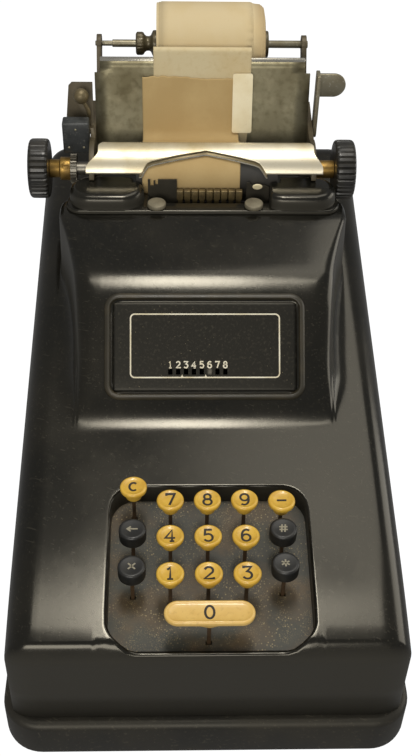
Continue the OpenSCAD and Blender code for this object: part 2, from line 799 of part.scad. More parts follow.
// Carriage.
module carriage_outline() {
    front_y = hump_back_y + 0.5;
    ear_z = cover_z + lobe_h + 0.8;
    step_y = platen_y - 8.5;
    polygon([
        [front_y, deck_z(front_y)], [carriage_back_y, deck_z(carriage_back_y)],
        [carriage_back_y, carriage_top_z], [platen_y, carriage_top_z - 8], [step_y, carriage_top_z - 8],
        [step_y, cover_z + 1.5], [front_y, cover_z + 1.5],
    ]);
    intersection() {
        translate([platen_y, platen_z]) circle(shield_in_r - 0.2);
        translate([platen_y - 2 * platen_r, ear_z]) square([2 * platen_r + 10, 2 * platen_r]);
    }
}

module clear_above_shield() {
    translate([platen_y, platen_z]) difference() {
        translate([-3 * platen_r, 0]) square([3 * platen_r, 3 * platen_r]);
        circle(shield_in_r - 0.2);
    }
}

module carriage_plate(x0) {
    difference() {
        across(x0, x0 + carriage_t) difference() {
            carriage_outline();
            clear_above_shield();
        }
        rod(x0 - 1, x0 + carriage_t + 1, platen_y, platen_z, platen_shaft_r + run_fit);
        rod(x0 - 1, x0 + carriage_t + 1, feed_y, feed_z, feed_shaft_r + run_fit);
    }
}

lever_hub_l = 6;
release_hub_l = 2.4;

module left_carriage_plate() {
    outer = -carriage_x - carriage_t;
    lean = 90 - table_angle;
    bracket_w = 16;
    bracket_h = 32;
    root = carriage_t / 2;
    color("#3b392f") {
        carriage_plate(outer);
        rod(outer - lever_hub_l - 2 * slide_fit, outer + root, lever_pivot[0], lever_pivot[1], pivot_r);
        translate([outer, platen_y + table_face(12)[0], platen_z + 12]) rotate([90 - lean, 0, 0])
            translate([0, 0, -table_t]) linear_extrude(table_t) polygon([
                [-bracket_w, 0], [root, 0], [root, bracket_h], [-bracket_w + 5, bracket_h],
                [-bracket_w + 3, bracket_h - 2],
            ]);
    }
}

module right_carriage_plate() {
    outer = carriage_x + carriage_t;
    color("#3b392f") {
        carriage_plate(carriage_x);
        rod(outer - carriage_t / 2, outer + release_hub_l + 2 * slide_fit,
            release_pivot[0], release_pivot[1], pivot_r);
    }
}

// Front face of the paper table at a height above the platen's axis, measured from that axis.
function table_face(h) = let (p = polar(table_r, table_touch)) [p[0] + (h - p[1]) / tan(table_angle), h];

module platen_roller() {
    color("#2b2a28") difference() {
        rod(platen_x0, platen_x1, platen_y, platen_z, platen_r);
        rod(platen_x0 - 1, platen_x1 + 1, platen_y, platen_z, platen_shaft_r + 0.02);
    }
}

module platen_shaft() {
    color("#a49f90")
        rod(-knob_left - knob_w + 2, knob_right + knob_w - 2, platen_y, platen_z, platen_shaft_r);
}

module knob(x0, bore_x) {
    flutes = 36;
    flute_r = 0.9;
    bevel = 1.5;
    difference() {
        translate([x0, platen_y, platen_z]) rotate([0, 90, 0]) difference() {
            rotate_extrude() polygon([
                [0, 0], [knob_r - bevel, 0], [knob_r, bevel],
                [knob_r, knob_w - bevel], [knob_r - bevel, knob_w], [0, knob_w],
            ]);
            for (i = [0:flutes - 1]) rotate(i * 360 / flutes) translate([knob_r + 0.3, 0, -1])
                cylinder(r = flute_r, h = knob_w + 2, $fn = 16);
        }
        rod(bore_x, bore_x + knob_w - 2, platen_y, platen_z, platen_shaft_r + 0.02);
    }
}

module left_knob() { color("#1d1c1a") knob(-knob_left - knob_w, -knob_left - knob_w + 2); }
module right_knob() { color("#1d1c1a") knob(knob_right, knob_right); }

ratchet_w = 3.6;
ratchet_r = 9;
collar_w = 6.5;
sleeve_r = 5.5;
collar_r = 7;

module collar(x0, w, r) {
    difference() {
        rod(x0, x0 + w, platen_y, platen_z, r);
        rod(x0 - 1, x0 + w + 1, platen_y, platen_z, platen_shaft_r + 0.02);
    }
}

module shaft_collars() {
    color("#a8894c") {
        collar(-knob_left, collar_w, sleeve_r);
        collar(-knob_left + collar_w, collar_w, collar_r);
        collar(carriage_x + carriage_t + slide_fit,
            knob_right - carriage_x - carriage_t - slide_fit, sleeve_r);
    }
}

module ratchet_wheel() {
    teeth = 24;
    x0 = -knob_left + 2 * collar_w;
    color("#8d8a82") difference() {
        across(x0, x0 + ratchet_w) translate([platen_y, platen_z]) {
            circle(ratchet_r - 1.6);
            for (t = [0:teeth - 1]) rotate(t * 360 / teeth)
                polygon([[0, -1], [ratchet_r, 0.1], [ratchet_r, 0.5], [0, 1]]);
        }
        rod(x0 - 1, x0 + ratchet_w + 1, platen_y, platen_z, platen_shaft_r + 0.02);
    }
}

module feed_roller() {
    color("#2f2d2a") {
        rod(-carriage_x - carriage_t, carriage_x + carriage_t, feed_y, feed_z, feed_shaft_r);
        rod(platen_x0 + 4, platen_x1 - 4, feed_y, feed_z, feed_r);
    }
}

module tear_bar() {
    axis = [platen_y, platen_z];
    win_x = 33;
    win_z = platen_z + shield_in_r - 5.3;
    peak_z = platen_z + shield_in_r - 1.3;
    color("#b8b3a6") difference() {
        across(shield_x0, shield_x1)
            polygon(band(arc(axis, shield_in_r + shield_t / 2, shield_top, shield_low, 24), shield_t));
        translate([0, platen_y, 0]) rotate([90, 0, 0]) linear_extrude(2 * platen_r + shield_t * 8)
            polygon([
                [-win_x, platen_z - 9], [-win_x, win_z - 4], [-win_x + 3, win_z], [1, peak_z],
                [win_x, win_z], [win_x + 3, win_z - 8], [win_x + 3, platen_z - 9],
            ]);
    }
}

// Paper path and table.
module paper_table() {
    top_x = carriage_x - post_t - slide_fit;
    low = polar(table_r, table_touch);
    along = polar(1, table_angle);
    mid = low - side(along) * table_t / 2;
    color("#8b8a7f") translate([0, platen_y, platen_z]) {
        across(-carriage_x, carriage_x) polygon(band([mid, mid + along * (table_l - 7)], table_t));
        across(-top_x, top_x) polygon(band([mid, mid + along * table_l], table_t));
        across(-carriage_x, carriage_x)
            polygon(band(arc([0, 0], table_r + chute_t / 2, table_touch, chute_end, 8), chute_t));
        rod(-top_x, top_x, low[0] + along[0] * table_l + edge_roll_r, low[1] + along[1] * table_l,
            edge_roll_r);
    }
}

module paper_web() {
    along = polar(1, table_angle);
    out = -side(along);
    touch = polar(paper_mid_r, table_touch);
    roll_c = [roll_back, roll_rise];
    crest_r = 2.2;
    crest_c = touch + along * (table_l + 6) + out * crest_r;
    start_r = roll_r + slide_fit + tape_t / 2;
    reach = roll_c - crest_c;
    strand = atan2(reach[1], reach[0]) + acos((crest_r + start_r) / norm(reach));
    start = roll_c - polar(start_r, strand);
    leave_a = 62;
    leave = polar(paper_mid_r, leave_a);
    tail_r = 5;
    tail_gap = 3 * tape_t;
    tail_line = touch - out * tail_gap;
    bend = cross_at(leave, leave_a - 90, tail_line, table_angle);
    turn = table_angle - (leave_a - 90);
    set_back = tail_r * tan(turn / 2);
    bend_in = bend - polar(set_back, leave_a - 90);
    bend_c = bend_in + polar(tail_r, leave_a);
    tail_end = tail_line + along * (table_l - 8);
    path = concat(
        [start],
        arc(crest_c, crest_r, strand, table_angle + 90, 14),
        arc([0, 0], paper_mid_r, table_touch, leave_a - 360, 60),
        arc(bend_c, tail_r, leave_a - 180, leave_a - 180 + turn, 10),
        [tail_end]
    );
    color("#cdb98c") translate([0, platen_y, platen_z]) across(web_x0, web_x1) polygon(band(path, tape_t));
}

module paper_guide() {
    along = polar(1, table_angle);
    out = -side(along);
    guide_w = 12;
    guide_l = 34;
    guide_t = 0.8;
    gap = table_r - paper_in_r + 4 * tape_t;
    foot = gap + guide_t / 2;
    low = polar(table_r, table_touch) + along * 20.5;
    face = low - out * (gap + guide_t / 2);
    color("#c9c6bc") translate([0, platen_y, platen_z]) {
        across(web_x1 - guide_w + 4, web_x1 + 4) polygon(band([face, face + along * guide_l], guide_t));
        across(web_x1 + 2, web_x1 + 4)
            polygon(band([for (s = [4, guide_l - 4]) low - out * foot / 2 + along * s], foot));
    }
}

// Levers on the carriage.
module line_space_box() {
    outer = -carriage_x - carriage_t;
    color("#20242a") translate([outer - 16, platen_y + 1, platen_z + ratchet_r + 1]) cube([16, 9, 20]);
}

module line_space_lever() {
    outer = -carriage_x - carriage_t - slide_fit;
    ball_r = 4.75;
    arm_r = 1.3;
    arm_h = 13;
    tip_h = 5.5;
    tip_lean = 12;
    color("#8f8c80") translate([0, lever_pivot[0], lever_pivot[1]]) {
        difference() {
            rod(outer - lever_hub_l, outer, 0, 0, 2 * pivot_r - 0.2);
            rod(outer - lever_hub_l - 1, outer + 1, 0, 0, pivot_r + run_fit);
        }
        translate([outer - lever_hub_l / 2, 0, 2 * pivot_r - 1]) {
            cylinder(r = arm_r, h = arm_h);
            translate([0, 0, arm_h]) sphere(arm_r + 0.2);
            translate([0, 0, arm_h]) rotate([0, -tip_lean, 0]) {
                cylinder(r = arm_r, h = tip_h);
                translate([0, 0, tip_h + ball_r / 2]) sphere(ball_r);
            }
        }
    }
}

module release_lever() {
    inner = carriage_x + carriage_t + slide_fit;
    arm_w = 9;
    arm_h = 38;
    tab_l = 18;
    tab_h = 15;
    color("#a7a294") translate([0, release_pivot[0], release_pivot[1]]) {
        difference() {
            union() {
                rod(inner, inner + release_hub_l, 0, 0, arm_w / 2);
                translate([inner, -arm_w / 2, 0]) cube([release_hub_l, arm_w, arm_h]);
            }
            rod(inner - 1, inner + release_hub_l + 1, 0, 0, pivot_r + run_fit);
        }
        translate([inner, -1, arm_h - tab_h]) cube([tab_l - tab_h / 2, 2, tab_h]);
        translate([inner + tab_l - tab_h / 2, 1, arm_h - tab_h / 2])
            rotate([90, 0, 0]) cylinder(d = tab_h, h = 2);
    }
}

// Paper roll.
module post_outline() {
    foot = [platen_y + 35, platen_z + 14];
    top = [roll_y, roll_z];
    wide = 9;
    difference() {
        union() {
            translate(foot) circle(wide / 2);
            translate(top) circle(wide / 2 + 1);
            polygon(band([foot, top], wide));
        }
        translate(top) circle(spindle_r + run_fit);
    }
}

module roll_posts() {
    color("#4a473c") for (x0 = [-carriage_x, post_x]) across(x0, x0 + post_t) post_outline();
}

module roll_spindle() {
    color("#8d8a82") rod(-carriage_x - 1, carriage_x + 1, roll_y, roll_z, spindle_r);
}

// Knurled collar with a waist on the left, and a plain flange on the right.
module roll_hubs() {
    hub_w = 13;
    grip_r = 7;
    waist_r = 4.5;
    flange_r = 8;
    flange = 2.5;
    bore = spindle_r + 0.02;
    color("#7b5d3c") translate([0, roll_y, roll_z]) rotate([0, 90, 0]) {
        translate([0, 0, roll_x0 - hub_w]) rotate_extrude() polygon([
            [bore, 0], [grip_r, 0], [grip_r, 5], [waist_r, 6.5], [waist_r, hub_w - flange - 1.5],
            [flange_r, hub_w - flange], [flange_r, hub_w], [bore, hub_w],
        ]);
        translate([0, 0, roll_x1 + roll_slip]) rotate_extrude()
            polygon([[bore, 0], [flange_r, 0], [flange_r, flange], [bore, flange]]);
    }
}

module paper_roll() {
    color("#d3c197") translate([roll_x0, roll_y, roll_z]) rotate([0, 90, 0]) rotate_extrude() polygon([
        [core_r, 0], [roll_r, 0], [roll_r, tape_w], [roll_r - 4, tape_w + roll_slip / 3],
        [roll_r - 9, tape_w + roll_slip * 2 / 3], [roll_r - 15, tape_w + roll_slip],
        [core_r, tape_w + roll_slip],
    ]);
}

base_pan();
rubber_feet();
case_cover();
keyboard_plate();
stem_guide_plate();
key_springs();
for (k = KEYS) key(k);
name_bezel();
name_plate();
left_side_frame();
right_side_frame();
frame_rods();
pin_carriage();
drive_shaft();
lift_bar();
type_bars();
adding_arbor();
adding_wheels();
spool_plate();
left_spool();
right_spool();
ink_ribbon();
ribbon_guides();
ribbon_cover();
thumb_screws();
left_carriage_plate();
right_carriage_plate();
platen_roller();
platen_shaft();
left_knob();
right_knob();
shaft_collars();
ratchet_wheel();
feed_roller();
tear_bar();
paper_table();
paper_guide();
paper_web();
line_space_box();
line_space_lever();
release_lever();
roll_posts();
roll_spindle();
roll_hubs();
paper_roll();
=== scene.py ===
"""Dresses the ten-key printing adding machine over its CAD solids, in the same frame."""

import logging
from dataclasses import dataclass
from enum import Enum
from functools import partial
from typing import Callable, Optional, Sequence

import bmesh
import bpy
import numpy as np
from mathutils import Matrix, Vector


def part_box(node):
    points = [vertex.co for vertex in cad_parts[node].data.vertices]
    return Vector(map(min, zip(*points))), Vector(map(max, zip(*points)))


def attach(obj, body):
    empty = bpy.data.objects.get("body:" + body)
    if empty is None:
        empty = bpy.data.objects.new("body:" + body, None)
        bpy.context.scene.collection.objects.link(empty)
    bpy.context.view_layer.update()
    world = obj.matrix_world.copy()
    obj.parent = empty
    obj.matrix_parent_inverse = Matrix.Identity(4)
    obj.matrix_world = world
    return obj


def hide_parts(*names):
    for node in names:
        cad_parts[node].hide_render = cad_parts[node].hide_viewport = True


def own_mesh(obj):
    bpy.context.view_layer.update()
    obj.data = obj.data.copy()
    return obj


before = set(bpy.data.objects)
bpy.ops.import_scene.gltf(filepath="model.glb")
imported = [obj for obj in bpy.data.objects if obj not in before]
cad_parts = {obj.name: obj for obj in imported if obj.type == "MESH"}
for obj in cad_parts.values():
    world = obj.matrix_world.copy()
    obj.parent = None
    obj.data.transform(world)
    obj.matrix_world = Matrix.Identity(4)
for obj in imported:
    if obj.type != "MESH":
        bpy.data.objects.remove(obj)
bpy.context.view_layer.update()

LOG = logging.getLogger("adding_machine")
Array = np.ndarray
RGB = tuple[float, float, float]
MM = 0.001
TURN = 2 * np.pi
# Distance in millimetres at which points are welded
WELD = 0.002
# Angles in degrees: faces are one below FLAT, edges are bevelled above CORNER and shaded sharp above SHARP
FLAT = 1.0
CORNER = 35.0
SHARP = 34.0
# Heights in millimetres of the keys' signs that aren't digits
SIGN_SIZES = {"-": 6.272, "C": 5.824, "#": 5.6, "*": 5.6, "x": 5.6, "<": 6.048}


def srgb(red: float, green: float, blue: float) -> RGB:
    """Linear colour of an sRGB colour given in bytes."""
    c = np.array([red, green, blue]) / 255.0
    linear = np.where(c <= 0.04045, c / 12.92, ((c + 0.055) / 1.055) ** 2.4)
    return tuple(float(v) for v in linear)


def smooth(t: Array) -> Array:
    """Smooth step from 0 to 1 while t goes from 0 to 1."""
    u = np.clip(t, 0.0, 1.0)
    return u * u * (3 - 2 * u)


def ripple(waves: int, count: int) -> Array:
    """Cosine of a number of waves round a circle of count points."""
    return np.cos(waves * np.arange(count) * TURN / count)


def soft_min(a: Array, b: Array, width: float) -> Array:
    """Lesser of a and b, with the corner between them rounded over a width."""
    h = np.clip(0.5 + 0.5 * (b - a) / width, 0.0, 1.0)
    return b + (a - b) * h - width * h * (1 - h)


def square_to_disc(p: Array, q: Array) -> tuple[Array, Array, Array]:
    """Map of a square onto a rounded corner, so that two edge roundings meet in one.

    The square goes onto a disc, whose radius is the angle over the rounding, and whose sine is the reach.

    Args:
        p: share of the rounding across.
        q: share of the rounding along.

    Returns:
        Reach across, reach along and the angle over the rounding.
    """
    px, py = p * np.sqrt(1 - q**2 / 2), q * np.sqrt(1 - p**2 / 2)
    rho = np.hypot(px, py)
    turn = rho * np.pi / 2
    factor = np.where(rho > 0, np.sin(turn) / np.maximum(rho, 1e-9), np.pi / 2)
    return factor * px, factor * py, turn


def facing(right: Array, back: Array, place: Sequence[float]) -> Matrix:
    """Placement of a camera or lamp from its right and back directions."""
    right, back = (np.asarray(v) / np.linalg.norm(v) for v in (right, back))
    turned = Matrix(np.stack([right, np.cross(back, right), back], 1).tolist()).to_4x4()
    turned.translation = place
    return turned


@dataclass(frozen=True)
class Layout:
    """Places shared by the sub-assemblies, in millimetres, as in the CAD source."""

    seam_z: float = 29.0
    foot_h: float = 2.5
    deck_mid: float = 127.4
    deck_angle: float = np.radians(11.36)
    hump_foot_y: float = -46.0
    hump_foot_z: float = 118.158
    panel_top_y: float = 8.3
    panel_top_z: float = 172.458
    bezel_mid: float = 40.4
    hump_slope: float = np.radians(11.0)
    cover_y: float = 61.0
    cover_z: float = 182.702
    platen_y: float = 97.0
    platen_z: float = 191.502
    roll_y: float = 159.0
    roll_z: float = 243.002
    table_angle: float = np.radians(77.3)

    @property
    def table_along(self) -> Array:
        """Direction up the paper table, in y and z."""
        return np.array([np.cos(self.table_angle), np.sin(self.table_angle)])

    @property
    def table_out(self) -> Array:
        """Direction out of the paper table's back, in y and z."""
        return np.array([np.sin(self.table_angle), -np.cos(self.table_angle)])

    @property
    def panel_normal(self) -> Array:
        """Direction out of the name panel."""
        return self.on_panel(0, 0, 1.0) - self.on_panel(0, 0, 0.0)

    def deck_z(self, y: Array) -> Array:
        """Height of the deck plane at y."""
        return self.deck_mid + np.tan(self.deck_angle) * y

    def on_panel(self, u: Array, v: Array, w: Array) -> Array:
        """Points of the name panel: u across, v up the slope, w out of it."""
        c = np.cos(np.pi / 4)
        run = self.bezel_mid + np.asarray(v, float)
        u, run, w = np.broadcast_arrays(np.asarray(u, float), run, np.asarray(w, float))
        return np.stack([u, self.hump_foot_y + (run - w) * c, self.hump_foot_z + (run + w) * c], -1)


PLACE = Layout()


@dataclass
class Shape:
    """A mesh in millimetres: points, quads and larger end faces."""

    points: Array
    quads: Array
    caps: list[Array]

    def __add__(self, other: "Shape") -> "Shape":
        """Both meshes as one, without welding them."""
        n = len(self.points)
        return Shape(
            np.vstack([self.points, other.points]),
            np.vstack([self.quads, other.quads + n]),
            self.caps + [cap + n for cap in other.caps],
        )

    def moved(self, x: float, y: float, z: float) -> "Shape":
        """The mesh shifted by (x, y, z)."""
        return Shape(self.points + np.array([x, y, z]), self.quads, self.caps)


def join(shapes: Sequence[Shape]) -> Shape:
    """Several meshes as one."""
    total = shapes[0]
    for shape in shapes[1:]:
        total = total + shape
    return total


def grid(p: Array, wrap_u: bool = False, wrap_v: bool = False, keep: Optional[Array] = None) -> Shape:
    """Quads over a rows-by-columns array of points.

    Args:
        p: points, rows by columns by 3.
        wrap_u: join the last row to the first.
        wrap_v: join the last column to the first.
        keep: which cells to keep.

    Returns:
        The mesh.
    """
    rows, cols = p.shape[:2]
    index = np.arange(rows * cols).reshape(rows, cols)
    if wrap_u:
        index = np.vstack([index, index[:1]])
    if wrap_v:
        index = np.hstack([index, index[:, :1]])
    quads = np.stack([index[:-1, :-1], index[:-1, 1:], index[1:, 1:], index[1:, :-1]], -1)
    quads = quads.reshape(-1, 4) if keep is None else quads[keep]
    return Shape(p.reshape(-1, 3).astype(float), quads, [])


def border_of(p: Array) -> Array:
    """Points round the edge of a grid, each once."""
    return np.vstack([p[0, :-1], p[:-1, -1], p[-1, 1:][::-1], p[1:, 0][::-1]])


def loft(loops: Array, cap_first: bool = True, cap_last: bool = True) -> Shape:
    """Skin over closed loops, with flat ends.

    Args:
        loops: loops by points by 3.
        cap_first: close the first loop.
        cap_last: close the last loop.

    Returns:
        The mesh.
    """
    shape = grid(loops, wrap_v=True)
    count = loops.shape[1]
    first = np.arange(count)
    caps = ([first[::-1]] if cap_first else []) + ([first + len(shape.points) - count] if cap_last else [])
    return Shape(shape.points, shape.quads, caps)


def revolve(
    profile: Array, centre: Sequence[float], axis: int = 2, count: int = 48,
    closed: bool = False, scale: Optional[Array] = None,
) -> Shape:
    """Surface of a (radius, height) profile turned about an axis.

    The point at angle t is the centre plus the height along the axis and the radius at t across it.

    Args:
        profile: radius and height, one row each.
        centre: a point on the axis.
        axis: 0, 1 or 2 for X, Y or Z.
        count: points round the axis.
        closed: join the profile's end to its start.
        scale: factor on the radius, profile rows by angles.

    Returns:
        The mesh.
    """
    t = np.arange(count) * TURN / count
    radius = profile[:, :1] * (np.ones((1, count)) if scale is None else scale)
    p = np.empty((len(profile), count, 3))
    a, b = (axis + 1) % 3, (axis + 2) % 3
    p[..., axis] = centre[axis] + profile[:, 1:2]
    p[..., a] = centre[a] + radius * np.cos(t)
    p[..., b] = centre[b] + radius * np.sin(t)
    return grid(p, wrap_u=closed, wrap_v=True)


def arc(
    cx: float, cy: float, rx: float, start: float, end: float, n: int, ry: Optional[float] = None,
) -> Array:
    """Points of an elliptical arc in a plane, angles in degrees."""
    t = np.radians(np.linspace(start, end, n))
    return np.stack([cx + rx * np.cos(t), cy + (rx if ry is None else ry) * np.sin(t)], -1)


def round_rect(w: float, l: float, r: float, n: int = 7) -> Array:
    """Closed outline of a rounded rectangle about the origin, counter-clockwise."""
    return np.vstack([
        arc(w / 2 - r, l / 2 - r, r, 0, 90, n), arc(r - w / 2, l / 2 - r, r, 90, 180, n),
        arc(r - w / 2, r - l / 2, r, 180, 270, n), arc(w / 2 - r, r - l / 2, r, 270, 360, n),
    ])


def inset(outline: Array, distance: float) -> Array:
    """A counter-clockwise outline moved inwards along its corner bisectors."""
    edge = np.roll(outline, -1, 0) - outline
    length = np.maximum(np.linalg.norm(edge, axis=1), 1e-9)[:, None]
    n1 = np.stack([-edge[:, 1], edge[:, 0]], -1) / length
    n0 = np.roll(n1, 1, 0)
    mid = n0 + n1
    mid /= np.maximum((mid * n0).sum(1), 0.4)[:, None]
    return outline + mid * distance


def lift(outline: Array, z: Array) -> Array:
    """A plane outline as 3-D points at height z."""
    return np.column_stack([outline, np.broadcast_to(z, len(outline))])


def spline(points: Sequence[Sequence[float]], n: int = 8) -> Array:
    """Smooth curve through points: the cubic through each pair, with neighbours' chords as tangents."""
    p = np.asarray(points, float)
    padded = np.vstack([2 * p[0] - p[1], p, 2 * p[-1] - p[-2]])
    t = np.linspace(0, 1, n, endpoint=False)[:, None]
    a, b, c, d = (padded[i:len(padded) - 3 + i][:, None] for i in range(4))
    curve = 0.5 * (2 * b + (c - a) * t + (2 * a - 5 * b + 4 * c - d) * t**2 + (3 * b - a - 3 * c + d) * t**3)
    return np.vstack([curve.reshape(-1, p.shape[1]), p[-1:]])


def sweep(path: Array, section: Array, up: Sequence[float] = (0, 0, 1), closed: bool = False) -> Shape:
    """A plane section carried along a path.

    Args:
        path: points of the path.
        section: closed outline, first axis sideways, second axis towards up.
        up: direction that the section's second axis leans to.
        closed: join the path's end to its start.

    Returns:
        The mesh.
    """
    ahead = np.roll(path, -1, 0) - np.roll(path, 1, 0) if closed else np.gradient(path, axis=0)
    ahead /= np.linalg.norm(ahead, axis=1)[:, None]
    across = np.cross(ahead, np.asarray(up, float))
    across /= np.maximum(np.linalg.norm(across, axis=1), 1e-9)[:, None]
    above = np.cross(across, ahead)
    p = path[:, None] + section[None, :, :1] * across[:, None] + section[None, :, 1:] * above[:, None]
    return grid(p, wrap_u=True, wrap_v=True) if closed else loft(p)


def ring(r: float, n: int = 10) -> Array:
    """Closed circle about the origin, in a plane."""
    return arc(0, 0, r, 0, 360 - 360 / n, n)


def block(low: Sequence[float], high: Sequence[float], r: float) -> Shape:
    """Upright bar with a rounded-rectangle section and softened ends."""
    (x0, y0, z0), (x1, y1, z1) = low, high
    outline = round_rect(x1 - x0, y1 - y0, r, 4) + np.array([(x0 + x1) / 2, (y0 + y1) / 2])
    rounding = [(r * (1 - np.sin(a)), r * (1 - np.cos(a))) for a in np.radians([0, 45, 90])]
    loops = [lift(inset(outline, 0.7 * i), z0 + h) for i, h in rounding]
    loops += [lift(inset(outline, 0.7 * i), z1 - h) for i, h in rounding[::-1]]
    return loft(np.stack(loops))


class Wiring:
    """Adds and links the nodes of one node tree."""

    def __init__(self, tree: bpy.types.NodeTree) -> None:
        """Keeps the tree that the nodes go to."""
        self.tree = tree

    def node(self, kind: str, **settings: object) -> bpy.types.Node:
        """A new node with some of its properties set."""
        made = self.tree.nodes.new(kind)
        for key, value in settings.items():
            setattr(made, key, value)
        return made

    def feed(self, socket: bpy.types.NodeSocket, value: object) -> None:
        """Links a socket to another one, or sets its value."""
        if isinstance(value, bpy.types.NodeSocket):
            self.tree.links.new(value, socket)
        elif isinstance(value, tuple) and len(value) == 3 and socket.type == "RGBA":
            socket.default_value = (*value, 1.0)
        else:
            socket.default_value = value

    def math(self, operation: str, *values: object, clamp: bool = False) -> bpy.types.NodeSocket:
        """Result of a math node."""
        made = self.node("ShaderNodeMath", operation=operation, use_clamp=clamp)
        for socket, value in zip(made.inputs, values):
            self.feed(socket, value)
        return made.outputs[0]

    def mix(self, factor: object, a: object, b: object) -> bpy.types.NodeSocket:
        """Colour between a and b."""
        made = self.node("ShaderNodeMix", data_type="RGBA")
        for index, value in ((0, factor), (6, a), (7, b)):
            self.feed(made.inputs[index], value)
        return made.outputs[2]

    def span(self, value: object, low: object, high: object) -> bpy.types.NodeSocket:
        """Value mapped so that low gives 0 and high gives 1."""
        made = self.node("ShaderNodeMapRange")
        for index, item in ((0, value), (1, low), (2, high)):
            self.feed(made.inputs[index], item)
        return made.outputs[0]

    def noise(self, vector: object, scale: object, detail: float = 4.0) -> bpy.types.NodeSocket:
        """Noise value at a position."""
        made = self.node("ShaderNodeTexNoise")
        self.feed(made.inputs["Vector"], vector)
        self.feed(made.inputs["Scale"], scale)
        made.inputs["Detail"].default_value = detail
        return made.outputs[0]

    def place(self) -> bpy.types.NodeSocket:
        """Object coordinates."""
        return self.node("ShaderNodeTexCoord").outputs["Object"]


SCRATCH_TURNS = (0.5, 2.1, 1.2)
SCRATCH_AXIS = (0.2, 0.35, 0.9)
SCRATCH_STRETCH = (1.0, 34.0, 34.0)
SPECK_GATE = (0.42, 0.66)
SPECK_GATE_SCALE = 0.11
# Normal heights over which upright faces get their painted lighter colour, a painted light
WALL_TILT = (0.6, 0.15)


class Effect(Enum):
    """Shared surface effects, each one a node group with a mask as its result."""

    CLOUD = "cloudy_patches"
    SCRATCH = "fine_scratches"
    SPECK = "small_specks"
    # Painted light: a lighter colour on faces that stand upright, with a rougher shine
    WALL = "upright_faces_painted_lighter"

    def group(self) -> bpy.types.NodeTree:
        """The effect's node group, built on first use."""
        found = bpy.data.node_groups.get(self.value)
        if found:
            return found
        tree = bpy.data.node_groups.new(self.value, "ShaderNodeTree")
        for label in ("Scale", "Low", "High"):
            tree.interface.new_socket(label, in_out="INPUT", socket_type="NodeSocketFloat")
        tree.interface.new_socket("Mask", in_out="OUTPUT", socket_type="NodeSocketFloat")
        w = Wiring(tree)
        scale, low, high = list(w.node("NodeGroupInput").outputs)[:3]
        place = w.place()
        if self is Effect.CLOUD:
            mask = w.span(w.noise(place, scale, 6.0), low, high)
        elif self is Effect.SCRATCH:
            masks = []
            for turn in SCRATCH_TURNS:
                turned = w.node("ShaderNodeVectorRotate", rotation_type="AXIS_ANGLE")
                w.feed(turned.inputs["Vector"], place)
                turned.inputs["Axis"].default_value = SCRATCH_AXIS
                turned.inputs["Angle"].default_value = turn
                long = w.node("ShaderNodeVectorMath", operation="MULTIPLY")
                w.feed(long.inputs[0], turned.outputs[0])
                long.inputs[1].default_value = SCRATCH_STRETCH
                masks.append(w.span(w.noise(long.outputs[0], scale, 1.0), low, high))
            mask = w.math("MAXIMUM", w.math("MAXIMUM", masks[0], masks[1]), masks[2])
        elif self is Effect.SPECK:
            cells = w.node("ShaderNodeTexVoronoi")
            w.feed(cells.inputs["Vector"], place)
            w.feed(cells.inputs["Scale"], scale)
            gate = w.span(w.noise(place, w.math("MULTIPLY", scale, SPECK_GATE_SCALE)), *SPECK_GATE)
            mask = w.math("MULTIPLY", w.span(cells.outputs["Distance"], high, low), gate)
        else:
            # Painted light: faces are made lighter where they stand upright, in broad patches, and rougher
            up = w.node("ShaderNodeSeparateXYZ")
            w.feed(up.inputs[0], w.node("ShaderNodeNewGeometry").outputs["Normal"])
            patches = w.span(w.noise(place, scale, 7.0), low, high)
            mask = w.math("MULTIPLY", w.span(up.outputs[2], *WALL_TILT), patches)
        w.feed(w.node("NodeGroupOutput").inputs[0], mask)
        return tree


@dataclass(frozen=True)
class Mark:
    """One effect on a finish: where it lies, its colour and what it does to the shine."""

    effect: Effect
    scale: float
    low: float
    high: float
    color: Optional[RGB] = None
    strength: float = 1.0
    rough: float = 0.0
    metal: float = 0.0


@dataclass(frozen=True)
class Finish:
    """A surface: its colour, shine, and the marks that age it or paint light on it."""

    name: str
    color: RGB
    rough: float
    metallic: float = 0.0
    marks: tuple[Mark, ...] = ()
    grain: float = 0.0
    grain_scale: float = 500.0
    coat: float = 0.0
    specular: float = 0.5
    tint: RGB = (1.0, 1.0, 1.0)
    coat_rough: float = 0.12
    grain_strength: float = 0.6

    def base_color(self, w: Wiring) -> object:
        """The colour before the marks."""
        return self.color

    def material(self) -> bpy.types.Material:
        """The finish's material, built on first use."""
        name = f"finish_{self.name}"
        found = bpy.data.materials.get(name)
        if found:
            return found
        made = bpy.data.materials.new(name)
        made.use_nodes = True
        w = Wiring(made.node_tree)
        shader = made.node_tree.nodes["Principled BSDF"]
        color, rough, metal = self.base_color(w), self.rough, self.metallic
        for mark in self.marks:
            effect = w.node("ShaderNodeGroup", node_tree=mark.effect.group())
            for socket, value in zip(effect.inputs, (mark.scale, mark.low, mark.high)):
                socket.default_value = value
            mask = w.math("MULTIPLY", effect.outputs[0], mark.strength)
            if mark.color:
                color = w.mix(mask, color, mark.color)
            if mark.rough:
                rough = w.math("MULTIPLY_ADD", mask, mark.rough, rough)
            if mark.metal:
                metal = w.math("MULTIPLY_ADD", mask, mark.metal, metal)
        w.feed(shader.inputs["Base Color"], color)
        w.feed(shader.inputs["Roughness"], rough)
        w.feed(shader.inputs["Metallic"], metal)
        shader.inputs["Coat Weight"].default_value = self.coat
        shader.inputs["Coat Roughness"].default_value = self.coat_rough
        shader.inputs["Specular IOR Level"].default_value = self.specular
        shader.inputs["Specular Tint"].default_value = (*self.tint, 1.0)
        if self.grain:
            bump = w.node("ShaderNodeBump")
            bump.inputs["Strength"].default_value = self.grain_strength
            bump.inputs["Distance"].default_value = self.grain * MM
            w.feed(bump.inputs["Height"], w.noise(w.place(), self.grain_scale, 3.0))
            w.feed(shader.inputs["Normal"], bump.outputs[0])
        return made


